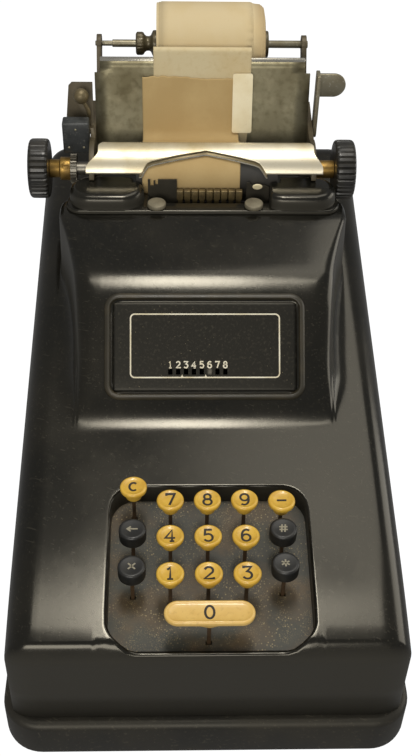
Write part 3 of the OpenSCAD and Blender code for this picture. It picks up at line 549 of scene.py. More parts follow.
@dataclass(frozen=True)
class AgedFinish(Finish):
    """A finish that goes to a second colour along a mesh attribute."""

    old: RGB = (0.4, 0.3, 0.15)
    attribute: str = "age"

    def base_color(self, w: Wiring) -> object:
        """Mix of the two colours by the attribute."""
        reading = w.node("ShaderNodeAttribute", attribute_name=self.attribute)
        return w.mix(reading.outputs["Fac"], self.color, self.old)


# upright makes the painted-light mark that lightens upright faces
cloud, scratch, speck, upright = (partial(Mark, effect) for effect in Effect)

RUST = srgb(96, 72, 46)
WARM = (1.0, 0.96, 0.88)
WARM_SHEEN = (1.0, 0.95, 0.82)

ENAMEL = Finish("black_enamel", srgb(12, 12, 10), 0.18, marks=(
    cloud(22.0, 0.42, 0.75, srgb(27, 25, 20), 0.75, 0.07),
    cloud(150.0, 0.56, 0.78, srgb(38, 35, 27), 0.30, 0.08),
    scratch(26.0, 0.68, 0.76, srgb(88, 84, 72), 0.16, 0.12),
    speck(520.0, 0.03, 0.11, srgb(116, 108, 90), 0.40, 0.2),
    # Painted light: upright faces painted lighter, and made rougher
    upright(20.0, 0.0, 0.3, srgb(48, 46, 40), 0.85, 0.34),
), grain=0.03, grain_scale=260.0, tint=WARM_SHEEN)
PAN_ENAMEL = Finish("pan_enamel", srgb(26, 25, 22), 0.48, marks=(
    cloud(30.0, 0.42, 0.72, srgb(44, 41, 34), 0.7, 0.10),
    scratch(18.0, 0.69, 0.76, srgb(100, 94, 80), 0.25, 0.1),
    speck(380.0, 0.04, 0.13, srgb(120, 112, 96), 0.45, 0.2),
), grain=0.05, grain_scale=240.0, tint=WARM_SHEEN)
WELL_OLIVE = Finish("well_olive", srgb(46, 46, 37), 0.55, marks=(
    cloud(30.0, 0.46, 0.68, srgb(64, 64, 50), 0.6),
    cloud(45.0, 0.44, 0.62, srgb(78, 62, 37), 0.85),
    cloud(260.0, 0.52, 0.74, srgb(48, 46, 36), 0.6),
    speck(620.0, 0.08, 0.3, srgb(168, 150, 108), 0.85),
    speck(1300.0, 0.1, 0.42, srgb(140, 122, 84), 0.7),
), grain=0.08, grain_scale=600.0)
BEZEL_OLIVE = Finish("bezel_olive", srgb(44, 40, 29), 0.42, marks=(
    cloud(60.0, 0.45, 0.72, srgb(64, 56, 38), 0.7, 0.1),
    speck(620.0, 0.05, 0.17, srgb(112, 100, 74), 0.4),
), grain=0.05, grain_scale=500.0, coat=0.1)
NAME_BLACK = Finish("name_black", srgb(12, 12, 10), 0.42, marks=(
    cloud(650.0, 0.54, 0.70, srgb(44, 41, 34), 0.7, 0.1),
    speck(420.0, 0.03, 0.10, srgb(170, 158, 126), 0.9),
), grain=0.07, grain_scale=800.0, specular=0.35, tint=WARM_SHEEN)
LINE_WHITE = Finish("line_white", srgb(214, 208, 188), 0.5, marks=(
    cloud(90.0, 0.45, 0.7, srgb(176, 158, 110), 0.6),
))
KEY_YELLOW = Finish("key_yellow", srgb(206, 166, 60), 0.34, marks=(
    cloud(150.0, 0.42, 0.72, srgb(182, 138, 40), 0.7, 0.1),
    cloud(420.0, 0.56, 0.8, srgb(140, 104, 38), 0.4),
), coat=0.3, grain=0.03)
BAR_YELLOW = Finish("bar_yellow", srgb(212, 176, 98), 0.34, marks=(
    cloud(150.0, 0.42, 0.72, srgb(198, 158, 78), 0.7, 0.1),
    cloud(420.0, 0.56, 0.8, srgb(146, 110, 50), 0.4),
), coat=0.3, grain=0.03)
KEY_BLACK = Finish("key_black", srgb(19, 19, 18), 0.42, marks=(
    cloud(160.0, 0.45, 0.75, srgb(44, 42, 36), 0.6, 0.15),
), coat=0.15)
LEGEND_DARK = Finish("legend_dark", srgb(30, 25, 18), 0.6)
LEGEND_PALE = Finish("legend_pale", srgb(134, 128, 110), 0.5)
STEM_BROWN = Finish("stem_brown", srgb(78, 60, 40), 0.5, 0.45, marks=(
    cloud(200.0, 0.45, 0.7, srgb(50, 38, 26), 0.7, 0.15),
))
STEEL = Finish("plain_steel", srgb(128, 124, 114), 0.42, 0.85, marks=(
    cloud(90.0, 0.45, 0.72, srgb(98, 88, 70), 0.6, 0.15, -0.3),
))
SLAT_GREY = Finish("slat_grey", srgb(120, 104, 70), 0.42, 0.6, marks=(
    cloud(220.0, 0.42, 0.7, srgb(66, 56, 42), 0.7, 0.1),
))
GUIDE_DARK = Finish("guide_dark", srgb(58, 54, 44), 0.5, 0.3, marks=(
    cloud(120.0, 0.42, 0.7, srgb(38, 35, 28), 0.7, 0.12),
))
SCREW_GREY = Finish("screw_grey", srgb(126, 119, 100), 0.5, 0.35, marks=(
    cloud(160.0, 0.42, 0.7, srgb(92, 84, 66), 0.7, 0.12),
    speck(900.0, 0.06, 0.2, RUST, 0.5),
))
TABLE_NICKEL = Finish("table_nickel", srgb(136, 130, 106), 0.42, 0.85, marks=(
    cloud(30.0, 0.40, 0.68, srgb(98, 90, 66), 0.8, 0.1),
    cloud(240.0, 0.48, 0.75, srgb(88, 80, 58), 0.5, 0.1),
    cloud(90.0, 0.52, 0.8, srgb(172, 164, 136), 0.5),
))
SHIELD_NICKEL = Finish("shield_nickel", srgb(216, 208, 186), 0.34, 0.75, marks=(
    cloud(40.0, 0.50, 0.75, srgb(178, 162, 122), 0.8, 0.1),
    speck(700.0, 0.05, 0.20, srgb(130, 100, 58), 0.6, 0.2),
    speck(280.0, 0.03, 0.12, srgb(150, 118, 70), 0.5, 0.2),
))
GUIDE_NICKEL = Finish("guide_nickel", srgb(238, 227, 194), 0.36, 0.35, marks=(
    cloud(60.0, 0.50, 0.78, srgb(214, 196, 150), 0.6, 0.1),
    speck(900.0, 0.05, 0.18, srgb(150, 124, 80), 0.5, 0.2),
))
LINER_BROWN = Finish("liner_brown", srgb(116, 104, 76), 0.42, 0.5, marks=(
    cloud(120.0, 0.45, 0.72, srgb(78, 68, 48), 0.7, 0.1),
))
DARK_METAL = Finish("dark_metal", srgb(84, 75, 56), 0.5, 0.3, marks=(
    cloud(60.0, 0.42, 0.7, srgb(58, 52, 40), 0.7, 0.12),
    speck(520.0, 0.05, 0.2, srgb(116, 100, 72), 0.5),
))
SLATE_BOX = Finish("slate_box", srgb(44, 46, 46), 0.42, 0.2, marks=(
    cloud(120.0, 0.42, 0.7, srgb(80, 82, 82), 0.5, 0.1),
    scratch(30.0, 0.69, 0.76, srgb(128, 126, 118), 0.4),
))
DULL_NICKEL = Finish("dull_nickel", srgb(150, 144, 124), 0.42, 0.8, marks=(
    cloud(70.0, 0.42, 0.72, srgb(112, 102, 78), 0.7, 0.15, -0.15),
    speck(620.0, 0.05, 0.18, RUST, 0.5, 0.2),
    scratch(20.0, 0.68, 0.76, srgb(200, 196, 184), 0.4, 0.1),
))
SPOTTED_NICKEL = Finish("spotted_nickel", srgb(196, 192, 180), 0.26, 0.95, marks=(
    cloud(90.0, 0.48, 0.75, srgb(150, 140, 116), 0.7, 0.2, -0.2),
    speck(460.0, 0.05, 0.2, RUST, 0.6, 0.2),
))
BRASS = Finish("aged_brass", srgb(160, 128, 68), 0.38, 0.9, marks=(
    cloud(160.0, 0.45, 0.7, srgb(92, 72, 40), 0.7, 0.2, -0.3),
))
RUBBER = Finish("platen_rubber", srgb(44, 42, 38), 0.6, marks=(
    cloud(110.0, 0.45, 0.7, srgb(64, 60, 52), 0.6),
))
FOOT_RUBBER = Finish("foot_rubber", srgb(30, 29, 28), 0.75, marks=(
    cloud(200.0, 0.45, 0.7, srgb(48, 46, 42), 0.6),
))
KNOB = Finish("knob_plastic", srgb(29, 28, 25), 0.38, marks=(
    cloud(100.0, 0.45, 0.72, srgb(52, 48, 39), 0.6, 0.15),
    speck(600.0, 0.05, 0.18, srgb(110, 100, 80), 0.35),
), coat=0.2)
RIBBON_INK = Finish("ribbon_ink", srgb(30, 28, 30), 0.8, marks=(
    cloud(300.0, 0.4, 0.7, srgb(54, 48, 46), 0.6),
))
HUB_BROWN = Finish("hub_brown", srgb(92, 84, 62), 0.42, 0.5, marks=(
    cloud(130.0, 0.42, 0.7, srgb(66, 56, 38), 0.7, 0.1),
    speck(700.0, 0.05, 0.2, srgb(150, 124, 84), 0.4),
), coat=0.2)
PAPER = AgedFinish("cream_paper", srgb(198, 184, 148), 0.85, marks=(
    cloud(45.0, 0.4, 0.75, srgb(190, 166, 118), 0.55),
    cloud(380.0, 0.5, 0.8, srgb(168, 142, 94), 0.3),
    speck(800.0, 0.04, 0.14, srgb(128, 100, 62), 0.5),
), grain=0.03, grain_scale=900.0, old=srgb(172, 146, 98))
ROLL_PAPER = AgedFinish("roll_paper", srgb(194, 178, 142), 0.85, marks=(
    cloud(50.0, 0.4, 0.75, srgb(198, 176, 130), 0.5),
    speck(700.0, 0.04, 0.15, srgb(138, 110, 70), 0.45),
), grain=0.03, grain_scale=900.0, old=srgb(150, 122, 78))
WRAP_PAPER = Finish("wrap_paper", srgb(195, 178, 141), 0.85, marks=(
    cloud(50.0, 0.4, 0.75, srgb(188, 166, 120), 0.55),
    speck(700.0, 0.04, 0.15, srgb(138, 110, 70), 0.45),
), grain=0.03, grain_scale=900.0)
FAINT_INK = Finish("faint_ink", srgb(140, 116, 82), 0.85)
BUTTON_CREAM = Finish("button_cream", srgb(212, 200, 164), 0.4)


def link(name: str, data: bpy.types.ID) -> bpy.types.Object:
    """A new object at the origin, in the scene's own collection."""
    made = bpy.data.objects.new(name, data)
    bpy.context.scene.collection.objects.link(made)
    return made


def box_mm(node: str) -> tuple[Array, Array]:
    """Low and high corner of a CAD node's box, in millimetres."""
    low, high = (np.array(corner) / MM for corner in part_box(node))
    return low, high


def shade(mesh: bpy.types.Mesh, sharp: float) -> None:
    """Smooth shading that leaves edges above an angle in degrees sharp."""
    mesh.polygons.foreach_set("use_smooth", np.ones(len(mesh.polygons), bool))
    mesh.set_sharp_from_angle(angle=np.radians(sharp))


def register(made: bpy.types.Object, finish: Finish, body: str, replaces: Sequence[str]) -> None:
    """Gives a piece its finish and its body, and hides the CAD nodes that it stands for."""
    made.data.materials.clear()
    made.data.materials.append(finish.material())
    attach(made, body)
    if replaces:
        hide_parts(*replaces)
    LOG.info("%s: %d faces, %s, on %s", made.name, len(made.data.polygons), finish.name, body)


def put(
    name: str, shape: Shape, finish: Finish, body: str, replaces: Sequence[str] = (),
    sharp: float = SHARP, wall: float = 0.0, out: Optional[Sequence[float]] = None,
    values: Optional[dict[str, Array]] = None,
) -> bpy.types.Object:
    """Makes an object of a mesh.

    Args:
        name: the piece's name.
        shape: its mesh in millimetres.
        finish: its surface.
        body: the CAD body that it moves with.
        replaces: CAD nodes that it stands for.
        sharp: angle in degrees above which an edge stays sharp.
        wall: thickness given to an open sheet, inwards.
        out: rough direction of an open sheet's outside.
        values: point attributes.

    Returns:
        The object.
    """
    mesh = bpy.data.meshes.new(name)
    faces = shape.quads.tolist() + [cap.tolist() for cap in shape.caps]
    mesh.from_pydata((shape.points * MM).tolist(), [], faces)
    for key, value in (values or {}).items():
        data = mesh.attributes.new(key, "FLOAT", "POINT").data
        data.foreach_set("value", value.astype(np.float32).ravel())
    bm = bmesh.new()
    bm.from_mesh(mesh)
    bmesh.ops.remove_doubles(bm, verts=bm.verts, dist=2 * WELD * MM)
    bmesh.ops.dissolve_degenerate(bm, edges=bm.edges, dist=WELD * MM)
    bmesh.ops.recalc_face_normals(bm, faces=bm.faces)
    if out is not None:
        total = sum((f.normal * f.calc_area() for f in bm.faces), start=Vector())
        if total.dot(out) < 0:
            bmesh.ops.reverse_faces(bm, faces=bm.faces)
    bm.to_mesh(mesh)
    bm.free()
    shade(mesh, sharp)
    made = link(name, mesh)
    if wall:
        thick = made.modifiers.new("wall", "SOLIDIFY")
        thick.thickness = wall * MM
        thick.offset = -1.0
        thick.use_even_offset = True
    register(made, finish, body, replaces)
    return made


def soft_copy(
    name: str, node: str, finish: Finish, body: str, r: float, segments: int = 2,
) -> None:
    """Makes a piece of a CAD node's mesh, merged and with its edges rounded.

    Args:
        name: the piece's name.
        node: the CAD node that it stands for.
        finish: its surface.
        body: the CAD body that it moves with.
        r: size of the rounding in millimetres.
        segments: faces across the rounding.
    """
    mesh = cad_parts[node].data.copy()
    mesh.name = name
    bm = bmesh.new()
    bm.from_mesh(mesh)
    bmesh.ops.remove_doubles(bm, verts=bm.verts, dist=WELD * MM)
    bmesh.ops.dissolve_limit(bm, angle_limit=np.radians(FLAT), verts=bm.verts, edges=bm.edges)
    bmesh.ops.bevel(
        bm, geom=[e for e in bm.edges if e.is_manifold and e.calc_face_angle() > np.radians(CORNER)],
        offset=r * MM, offset_type="OFFSET", segments=segments, profile=0.5, affect="EDGES",
        clamp_overlap=True,
    )
    bmesh.ops.recalc_face_normals(bm, faces=bm.faces)
    bm.to_mesh(mesh)
    bm.free()
    shade(mesh, SHARP)
    register(link(name, mesh), finish, body, (node,))


def dress(finish: Finish, *nodes: str) -> None:
    """Gives CAD nodes that stay in view their finish."""
    for node in nodes:
        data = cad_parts[node].data
        data.materials.clear()
        data.materials.append(finish.material())
        LOG.info("%s: CAD mesh, %s", node, finish.name)


class Glyph:
    """Digits and signs as strokes, one unit high about their centre."""

    STROKES: dict[str, list[Sequence[Sequence[float]]]] = {
        "0": [arc(0, 0, 0.3, 0, 360, 28, 0.5)],
        "1": [[(-0.2, 0.3), (-0.05, 0.42), (0.0, 0.5), (0.0, -0.5)], [(-0.2, -0.5), (0.2, -0.5)]],
        "2": [np.vstack([arc(0, 0.22, 0.28, 165, -35, 14), [(-0.3, -0.48), (0.32, -0.48), (0.32, -0.36)]])],
        "3": [np.vstack([[(-0.27, 0.38), (-0.27, 0.5), (0.26, 0.5), (-0.03, 0.13)],
                         arc(-0.02, -0.19, 0.3, 82, -155, 16, 0.31)])],
        "4": [[(0.12, -0.5), (0.12, 0.5), (-0.34, -0.2), (0.34, -0.2)], [(-0.04, -0.5), (0.28, -0.5)]],
        "5": [np.vstack([[(0.27, 0.5), (-0.2, 0.5), (-0.23, 0.08)],
                         arc(0, -0.18, 0.3, 118, -150, 16, 0.32)])],
        "6": [arc(0.04, 0.0, 0.33, 55, 200, 14, 0.5), arc(0, -0.2, 0.29, 0, 360, 24, 0.3)],
        "7": [[(-0.28, 0.36), (-0.28, 0.5), (0.3, 0.5), (-0.06, -0.5)]],
        "8": [arc(0, 0.26, 0.23, 0, 360, 22, 0.24), arc(0, -0.22, 0.29, 0, 360, 24, 0.28)],
        "9": [-arc(0.04, 0.0, 0.33, 55, 200, 14, 0.5), -arc(0, -0.2, 0.29, 0, 360, 24, 0.3)],
        "-": [[(-0.4, 0.0), (0.4, 0.0)]],
        "x": [[(-0.32, -0.32), (0.32, 0.32)], [(-0.32, 0.32), (0.32, -0.32)]],
        "<": [[(0.45, 0.0), (-0.42, 0.0)], [(-0.14, 0.26), (-0.44, 0.0), (-0.14, -0.26)]],
        "#": [[(-0.2, -0.45), (-0.1, 0.45)], [(0.1, -0.45), (0.2, 0.45)],
              [(-0.38, 0.16), (0.38, 0.16)], [(-0.38, -0.16), (0.38, -0.16)]],
        "*": [[(0.0, -0.4), (0.0, 0.4)], [(-0.35, -0.2), (0.35, 0.2)], [(-0.35, 0.2), (0.35, -0.2)]],
        "C": [arc(0, 0, 0.36, 48, 312, 22, 0.46)],
    }

    @staticmethod
    def shape(
        text: str, x: float, y: float, height: float, width: float,
        surface: Callable[[Array, Array], tuple[Array, Array]], rise: float = 0.05,
    ) -> Shape:
        """Strokes of a sign laid on a surface as thin closed ribbons.

        Each stroke's edges lie half a width to either side of its line, just above and below the surface.

        Args:
            text: the sign.
            x: centre along the surface's first axis.
            y: centre along its second axis.
            height: height in millimetres.
            width: stroke width in millimetres.
            surface: gives points and normals at (x, y).
            rise: half of the ribbon's thickness.

        Returns:
            The mesh.
        """
        parts = []
        for stroke in Glyph.STROKES[text]:
            line = np.asarray(stroke, float) * height + np.array([x, y])
            step = np.diff(line, axis=0)
            step /= np.linalg.norm(step, axis=1)[:, None]
            sides = np.stack([-step[:, 1], step[:, 0]], -1)
            first, last = np.vstack([sides[:1], sides]), np.vstack([sides, sides[-1:]])
            mid = first + last
            mid /= np.maximum((mid * first).sum(1), 0.55)[:, None]
            left, right = line + mid * width / 2, line - mid * width / 2
            (pl, nl), (pr, nr) = surface(left[:, 0], left[:, 1]), surface(right[:, 0], right[:, 1])
            loops = np.stack([pl + nl * rise, pr + nr * rise, pr - nr * rise, pl - nl * rise], 1)
            parts.append(loft(loops))
        return join(parts)


@dataclass(frozen=True)
class KeyWell:
    """Sizes and outline of the key well's opening in the deck."""

    w: float = 104.8
    l: float = 88.0
    r: float = 13.0
    mid_x: float = 1.1
    mid_y: float = -132.8
    depth: float = 12.0
    lip: float = 1.6
    crowd: float = 0.72
    crowd_front: float = 0.2

    def outline(self, place: Array, offset: float | Array) -> Array:
        """Plan of the opening, widened by an offset.

        A side runs at even speed from the middle of one corner's arc, along the straight, to the next middle.

        Args:
            place: number of the side plus share of that side.
            offset: distance outwards.

        Returns:
            Points, one row each.
        """
        w, l, r = self.w + 2 * offset, self.l * np.cos(PLACE.deck_angle) + 2 * offset, self.r + offset
        corner = r * np.pi / 4
        side, share = np.floor(place).astype(int) % 4, place - np.floor(place)
        straight = np.where(side % 2 == 0, w, l) - 2 * r
        depth = np.where(side % 2 == 0, l, w) / 2
        s = share * (straight + 2 * corner) - corner
        angle = (np.minimum(s, 0) + np.maximum(s - straight, 0)) / r
        u = np.clip(s, 0, straight) - straight / 2 + r * np.sin(angle)
        v = r - depth - r * np.cos(angle)
        turn = side * np.pi / 2
        c, d = np.cos(turn), np.sin(turn)
        return np.stack([self.mid_x + u * c - v * d, self.mid_y + u * d + v * c], -1)

    def crowding(self, side: int, share: Array) -> Array:
        """Shift towards the corners: at both ends of the front and back, at the back end of the others."""
        if side % 2 == 0:
            return -(self.crowd if side else self.crowd_front) * np.sin(TURN * share) / TURN
        return self.crowd * share * (1 - share) * (share if side == 1 else share - 1)


@dataclass(frozen=True)
class Case:
    """Upper case with hump and key well, the base pan and its feet."""

    well: KeyWell = KeyWell()
    edge_x: float = 88.0
    edge_r: float = 15.0
    front_y: float = -174.0
    front_reach: float = 6.0
    front_fall: float = 12.5
    back_y: float = 165.0
    dip: float = 2.8
    dip_y: float = -120.0
    dip_l: float = 54.0
    edge_rows: int = 10
    inner: tuple[float, ...] = (58, 52, 46, 40, 34, 28, 22, 16, 10, 5, 0)
    hump_half: float = 72.0
    flare: float = 13.5
    flare_power: float = 2.8
    end_x: float = 74.5
    end_y: float = 70.0
    end_r: float = 11.0
    lobe_x: float = 63.0
    lobe_y: float = 74.5
    lobe_r: float = 16.5
    hump_back: float = 91.0
    ridge_blend: float = 9.5
    foot_blend: float = 7.5
    foot_x: float = 12.0
    foot_z: float = 9.0
    draft: tuple[float, float] = (1.5, 0.8)
    shoulder_x: tuple[float, float] = (13.0, 3.0)
    shoulder_z: tuple[float, float] = (9.0, 3.0)
    shoulder_run: tuple[float, float] = (-8.0, 62.0)
    well_first_row: int = 3
    well_back: float = -86.0
    plate_hole: tuple[float, float, float] = (52.0, -36.0, 0.0)
    cover_hole: tuple[float, float, float] = (58.0, 65.5, 180.0)
    crank_y: float = 58.0
    crank_z: float = 70.0
    crank_r: float = 7.6
    wall: float = 2.2
    pan_w: float = 218.0
    pan_l: float = 372.0
    pan_r: float = 21.0
    pan_edge: float = 4.2
    pan_wall: float = 3.0

    @property
    def band(self) -> Array:
        """Shares of an edge's rounding from its outer end inwards."""
        return np.linspace(1, 0, self.edge_rows)

    def rows(self) -> tuple[Array, Array, Array, Array]:
        """Rows of the skin from the front to the back.

        Returns:
            Their y, share of the front or back rounding, its side, and share of the hump's height.
        """
        _, plate_low, plate_high = self.plate_hole
        deck = np.concatenate([
            np.linspace(self.front_y, -95, 12)[1:], [self.well_back, -77, -68],
            np.linspace(-60, plate_low, 15), np.linspace(plate_low, plate_high, 9)[1:],
            np.linspace(plate_high, 18, 15)[1:],
            np.linspace(18, PLACE.cover_y, 10)[1:], [self.cover_hole[1], self.end_y],
            self.end_y + (self.hump_back - self.end_y) * np.sin(np.radians(np.linspace(0, 90, 9)[1:])),
        ])
        fall = np.array([91.3, 91.6, 92.2, 94.0, 97.0])
        fall_share = np.array([0.95, 0.5, 0.1, 0.02, 0.0])
        back = np.linspace(fall[-1], self.back_y, 9)[1:]
        flat = np.zeros(len(deck) + len(fall) + len(back))
        edge = np.full(self.edge_rows, self.front_y), np.full(self.edge_rows - 1, self.back_y)
        y = np.concatenate([edge[0], deck, fall, back, edge[1]])
        q = np.concatenate([self.band, flat, self.band[::-1][1:]])
        share = np.concatenate([np.ones(self.edge_rows + len(deck)), fall_share, 0 * back, 0 * edge[1]])
        return y, q, np.where(y < 0, -1.0, 1.0), share

    def half_width(self, y: Array) -> Array:
        """Half width of the hump: a flare to the cover, then the greater of its round end and its lobe."""
        end = self.end_x + np.sqrt(np.clip(self.end_r**2 - (y - self.end_y) ** 2, 0, None))
        end = np.where(y > self.end_y + self.end_r, 0, end)
        lobe = self.lobe_x + np.sqrt(np.clip(self.lobe_r**2 - (y - self.lobe_y) ** 2, 0, None))
        run = np.clip((y - PLACE.hump_foot_y) / (PLACE.cover_y - PLACE.hump_foot_y), 0, 1)
        front = self.hump_half + self.flare * run**self.flare_power
        return np.where(y > self.end_y, np.maximum(end, lobe), front)

    def deck(self, y: Array) -> Array:
        """Height of the deck: its plane, bent down a little by a square towards the front."""
        return PLACE.deck_z(y) - self.dip * (np.clip(self.dip_y - y, 0, 60) / self.dip_l) ** 2

    def top(self, y: Array, share: Array) -> Array:
        """Height of the hump along the middle: panel and top line blended, and blended into the deck."""
        deck = self.deck(y)
        panel = PLACE.hump_foot_z + (y - PLACE.hump_foot_y)
        line = PLACE.panel_top_z + np.tan(PLACE.hump_slope) * (y - PLACE.panel_top_y)
        hump = np.minimum(soft_min(panel, line, self.ridge_blend), PLACE.cover_z - 0.15)
        blended = -soft_min(-hump, -deck, self.foot_blend)
        return deck + share * np.clip(blended - deck, 0, None)

    def half(self) -> Array:
        """Right half of the skin, rows by columns from the outer edge to the middle.

        A row runs over the rounded side edge, the deck, a concave foot, the hump's wall and its rounded
        shoulder. At the case's corners the two edge roundings meet on the map of a square onto a disc.

        Returns:
            Points, rows by columns by 3.
        """
        y0, q, side, share = (a[:, None] for a in self.rows())
        w = self.half_width(y0)
        deck, top = self.deck(y0), self.top(y0, share)
        start, end = self.shoulder_run
        back = smooth((y0 - start) / (end - start))
        ends = self.draft, self.shoulder_x, self.shoulder_z
        draft, edge_x, edge_z = (a + (b - a) * back for a, b in ends)
        low = 0.45 * (top - deck)
        foot_z, edge_z = np.minimum(self.foot_z, low), np.minimum(edge_z, low)
        foot_x = np.clip(self.edge_x - w - draft - 0.4, 1.0, self.foot_x)
        t = np.linspace(0, np.pi / 2, 8)[None]
        band, inner, flat = self.band[None], np.array(self.inner)[None], np.ones_like(y0)
        x = np.hstack([
            flat * (self.edge_x + self.edge_r * np.sin(band * np.pi / 2)),
            w + draft + foot_x * (1 - np.sin(t)), w + draft / 2,
            w - edge_x + edge_x * np.cos(t), flat * inner,
        ])
        z = np.hstack([
            deck + 0 * band, deck + foot_z * (1 - np.cos(t)), (deck + foot_z + top - edge_z) / 2,
            top - edge_z + edge_z * np.sin(t), top + 0 * inner,
        ])
        p = np.zeros((1, x.shape[1]))
        p[0, :self.edge_rows] = self.band
        across, along, turn = square_to_disc(p, q)
        x = np.where(p > 0, self.edge_x + self.edge_r * across, x)
        reach = np.where(side < 0, self.front_reach, self.edge_r)
        fall = np.where(side < 0, self.front_fall, self.edge_r)
        y = y0 + side * reach * along
        drop = (self.edge_r * across**2 + fall * along**2) / np.maximum(across**2 + along**2, 1e-9)
        z = z + self.deck(y) - self.deck(y0) - drop * (1 - np.cos(turn))
        return np.stack([x, y, z], -1)

    def surface(self, y: Array) -> Array:
        """Height of the skin over the deck and its front rounding at y."""
        past = np.clip((self.front_y - y) / self.front_reach, 0, 0.99)
        return self.deck(y) - self.front_fall * (1 - np.sqrt(1 - past**2))

    def well_patch(self, sides: Sequence[Array]) -> Shape:
        """Patch from the hole in the skin to the well's lip, the lip's rounding and the wall.

        The rounding starts tangent to the skin, at an angle found in a few steps from the slope there.

        Args:
            sides: the hole's four edges, one after the other.

        Returns:
            The mesh.
        """
        place = []
        for number, edge in enumerate(sides):
            run = np.concatenate([[0], np.cumsum(np.linalg.norm(np.diff(edge, axis=0), axis=1))])
            share = run[:-1] / run[-1]
            place.append(number + share + self.well.crowding(number, share))
        border, place = np.vstack([edge[:-1] for edge in sides]), np.concatenate(place)
        r, lip = self.well.lip, lambda angle: self.well.outline(place, self.well.lip * (1 + np.sin(angle)))
        out_y = (self.well.outline(place, 1.0) - self.well.outline(place, 0.0))[:, 1]
        tilt = np.zeros(len(place))
        step = 0.05
        for _ in range(4):
            y = lip(tilt)[:, 1]
            slope = (self.surface(y + step) - self.surface(y - step)) / (2 * step)
            tilt = np.arctan(-slope * np.clip(out_y, -1, 1))
        start = lip(tilt)
        axis = self.surface(start[:, 1]) - r * np.cos(tilt)
        loops = [border]
        for share in (0.3, 0.6, 0.85):
            plan = border[:, :2] + share * (start - border[:, :2])
            loops.append(lift(plan, self.surface(plan[:, 1])))
        for share in np.linspace(0, 1, 9):
            angle = tilt + share * (-np.pi / 2 - tilt)
            loops.append(lift(lip(angle), axis + r * np.cos(angle)))
        floor = self.well.outline(place, 0.0)
        depth = PLACE.deck_z(floor[:, 1]) - self.well.depth / np.cos(PLACE.deck_angle) + 0.2
        loops.append(lift(floor, np.minimum(depth, axis - 0.4)))
        return grid(np.stack(loops), wrap_v=True)

    def skirt(self, p: Array) -> Shape:
        """Upright walls under the skin's edge, with the hole for the crank in the right wall."""
        loop = border_of(p)
        low = PLACE.seam_z + 0.3
        levels = np.append(self.crank_z + np.array([18.0, 12, 8, 4, 0, -4, -8, -12]), low)[:, None]
        z = np.minimum(levels, low + (loop[None, :, 2] - low) * (levels - low) / (self.crank_z + 20 - low))
        walls = np.stack([np.broadcast_to(loop[:, 0], z.shape), np.broadcast_to(loop[:, 1], z.shape), z], -1)
        walls = np.concatenate([loop[None], walls])
        near = (loop[:, 1] > self.crank_y - 14) & (loop[:, 1] < self.crank_y + 12.5)
        right = np.flatnonzero((loop[:, 0] > self.edge_x + self.edge_r - 0.1) & near)
        i0, i1 = right.min(), right.max()
        keep = np.ones((len(walls) - 1, len(loop)), bool)
        keep[2:8, i0:i1] = False
        border = np.vstack([
            walls[8, i0:i1], walls[2:9, i1][::-1][:-1], walls[2, i0 + 1:i1 + 1][::-1], walls[2:8, i0],
        ])
        angle = np.arctan2(border[:, 2] - self.crank_z, border[:, 1] - self.crank_y)
        y, z = self.crank_y + self.crank_r * np.cos(angle), self.crank_z + self.crank_r * np.sin(angle)
        hole = np.stack([border[:, 0], y, z], -1)
        return grid(walls, wrap_v=True, keep=keep) + grid(np.stack([border, hole]), wrap_v=True)

    def shell(self) -> Shape:
        """The whole skin with its openings."""
        half = self.half()
        p = np.concatenate([(half * np.array([-1.0, 1, 1]))[:, :-1], half[:, ::-1]], 1)
        x, y, z = np.moveaxis((p[:-1, :-1] + p[1:, 1:]) / 2, -1, 0)
        plate_x, plate_low, plate_high = self.plate_hole
        cover_x, cover_low, cover_z = self.cover_hole
        plate = (np.abs(x) < plate_x) & (y > plate_low - 0.1) & (y < plate_high + 0.1)
        under = (np.abs(x) < cover_x) & (y > cover_low) & (y < self.hump_back) & (z > cover_z)
        r0, r1 = self.well_first_row, int(np.argmin(np.abs(self.rows()[0] - self.well_back)))
        wide = np.flatnonzero(np.isclose(np.abs(p[20, :, 0]), self.inner[0]))
        c0, c1 = int(wide.min()), int(wide.max())
        keep = ~(plate | under)
        keep[r0:r1, c0:c1] = False
        sides = p[r0, c0:c1 + 1], p[r0:r1 + 1, c1], p[r1, c0:c1 + 1][::-1], p[r0:r1 + 1, c0][::-1]
        return grid(p, keep=keep) + self.well_patch(sides) + self.skirt(p)

    def pan(self) -> Shape:
        """Base pan: rounded outline carried over a rounded outer edge, the ledge and the inside."""
        low, high, r, wall = PLACE.foot_h, PLACE.seam_z, self.pan_edge, self.pan_wall
        edge = [(wall, low), (1.2, low + 0.4), (0.3, low + 1.4), (0.0, low + 3), (0.0, high - r)]
        turns = np.radians([15, 30, 45, 60, 75, 90])
        edge += [(r * (1 - np.cos(t)), high - r * (1 - np.sin(t))) for t in turns]
        edge += [(9.8, high - 0.02), (10, high - wall), (wall, high - wall), (wall, low + wall)]
        w, l, r = self.pan_w, self.pan_l, self.pan_r
        return loft(np.stack([lift(round_rect(w - 2 * i, l - 2 * i, max(r - i, 3), 12), z) for i, z in edge]))

    def build(self) -> None:
        """Makes the case's pieces."""
        skin, up = self.shell(), (0, 0, 1)
        put("case_skin", skin, ENAMEL, "machine", ("case_cover",), 50.0, self.wall, up)
        put("base_pan_shell", self.pan(), PAN_ENAMEL, "machine", ("base_pan",), 40.0)
        dress(FOOT_RUBBER, "rubber_feet")


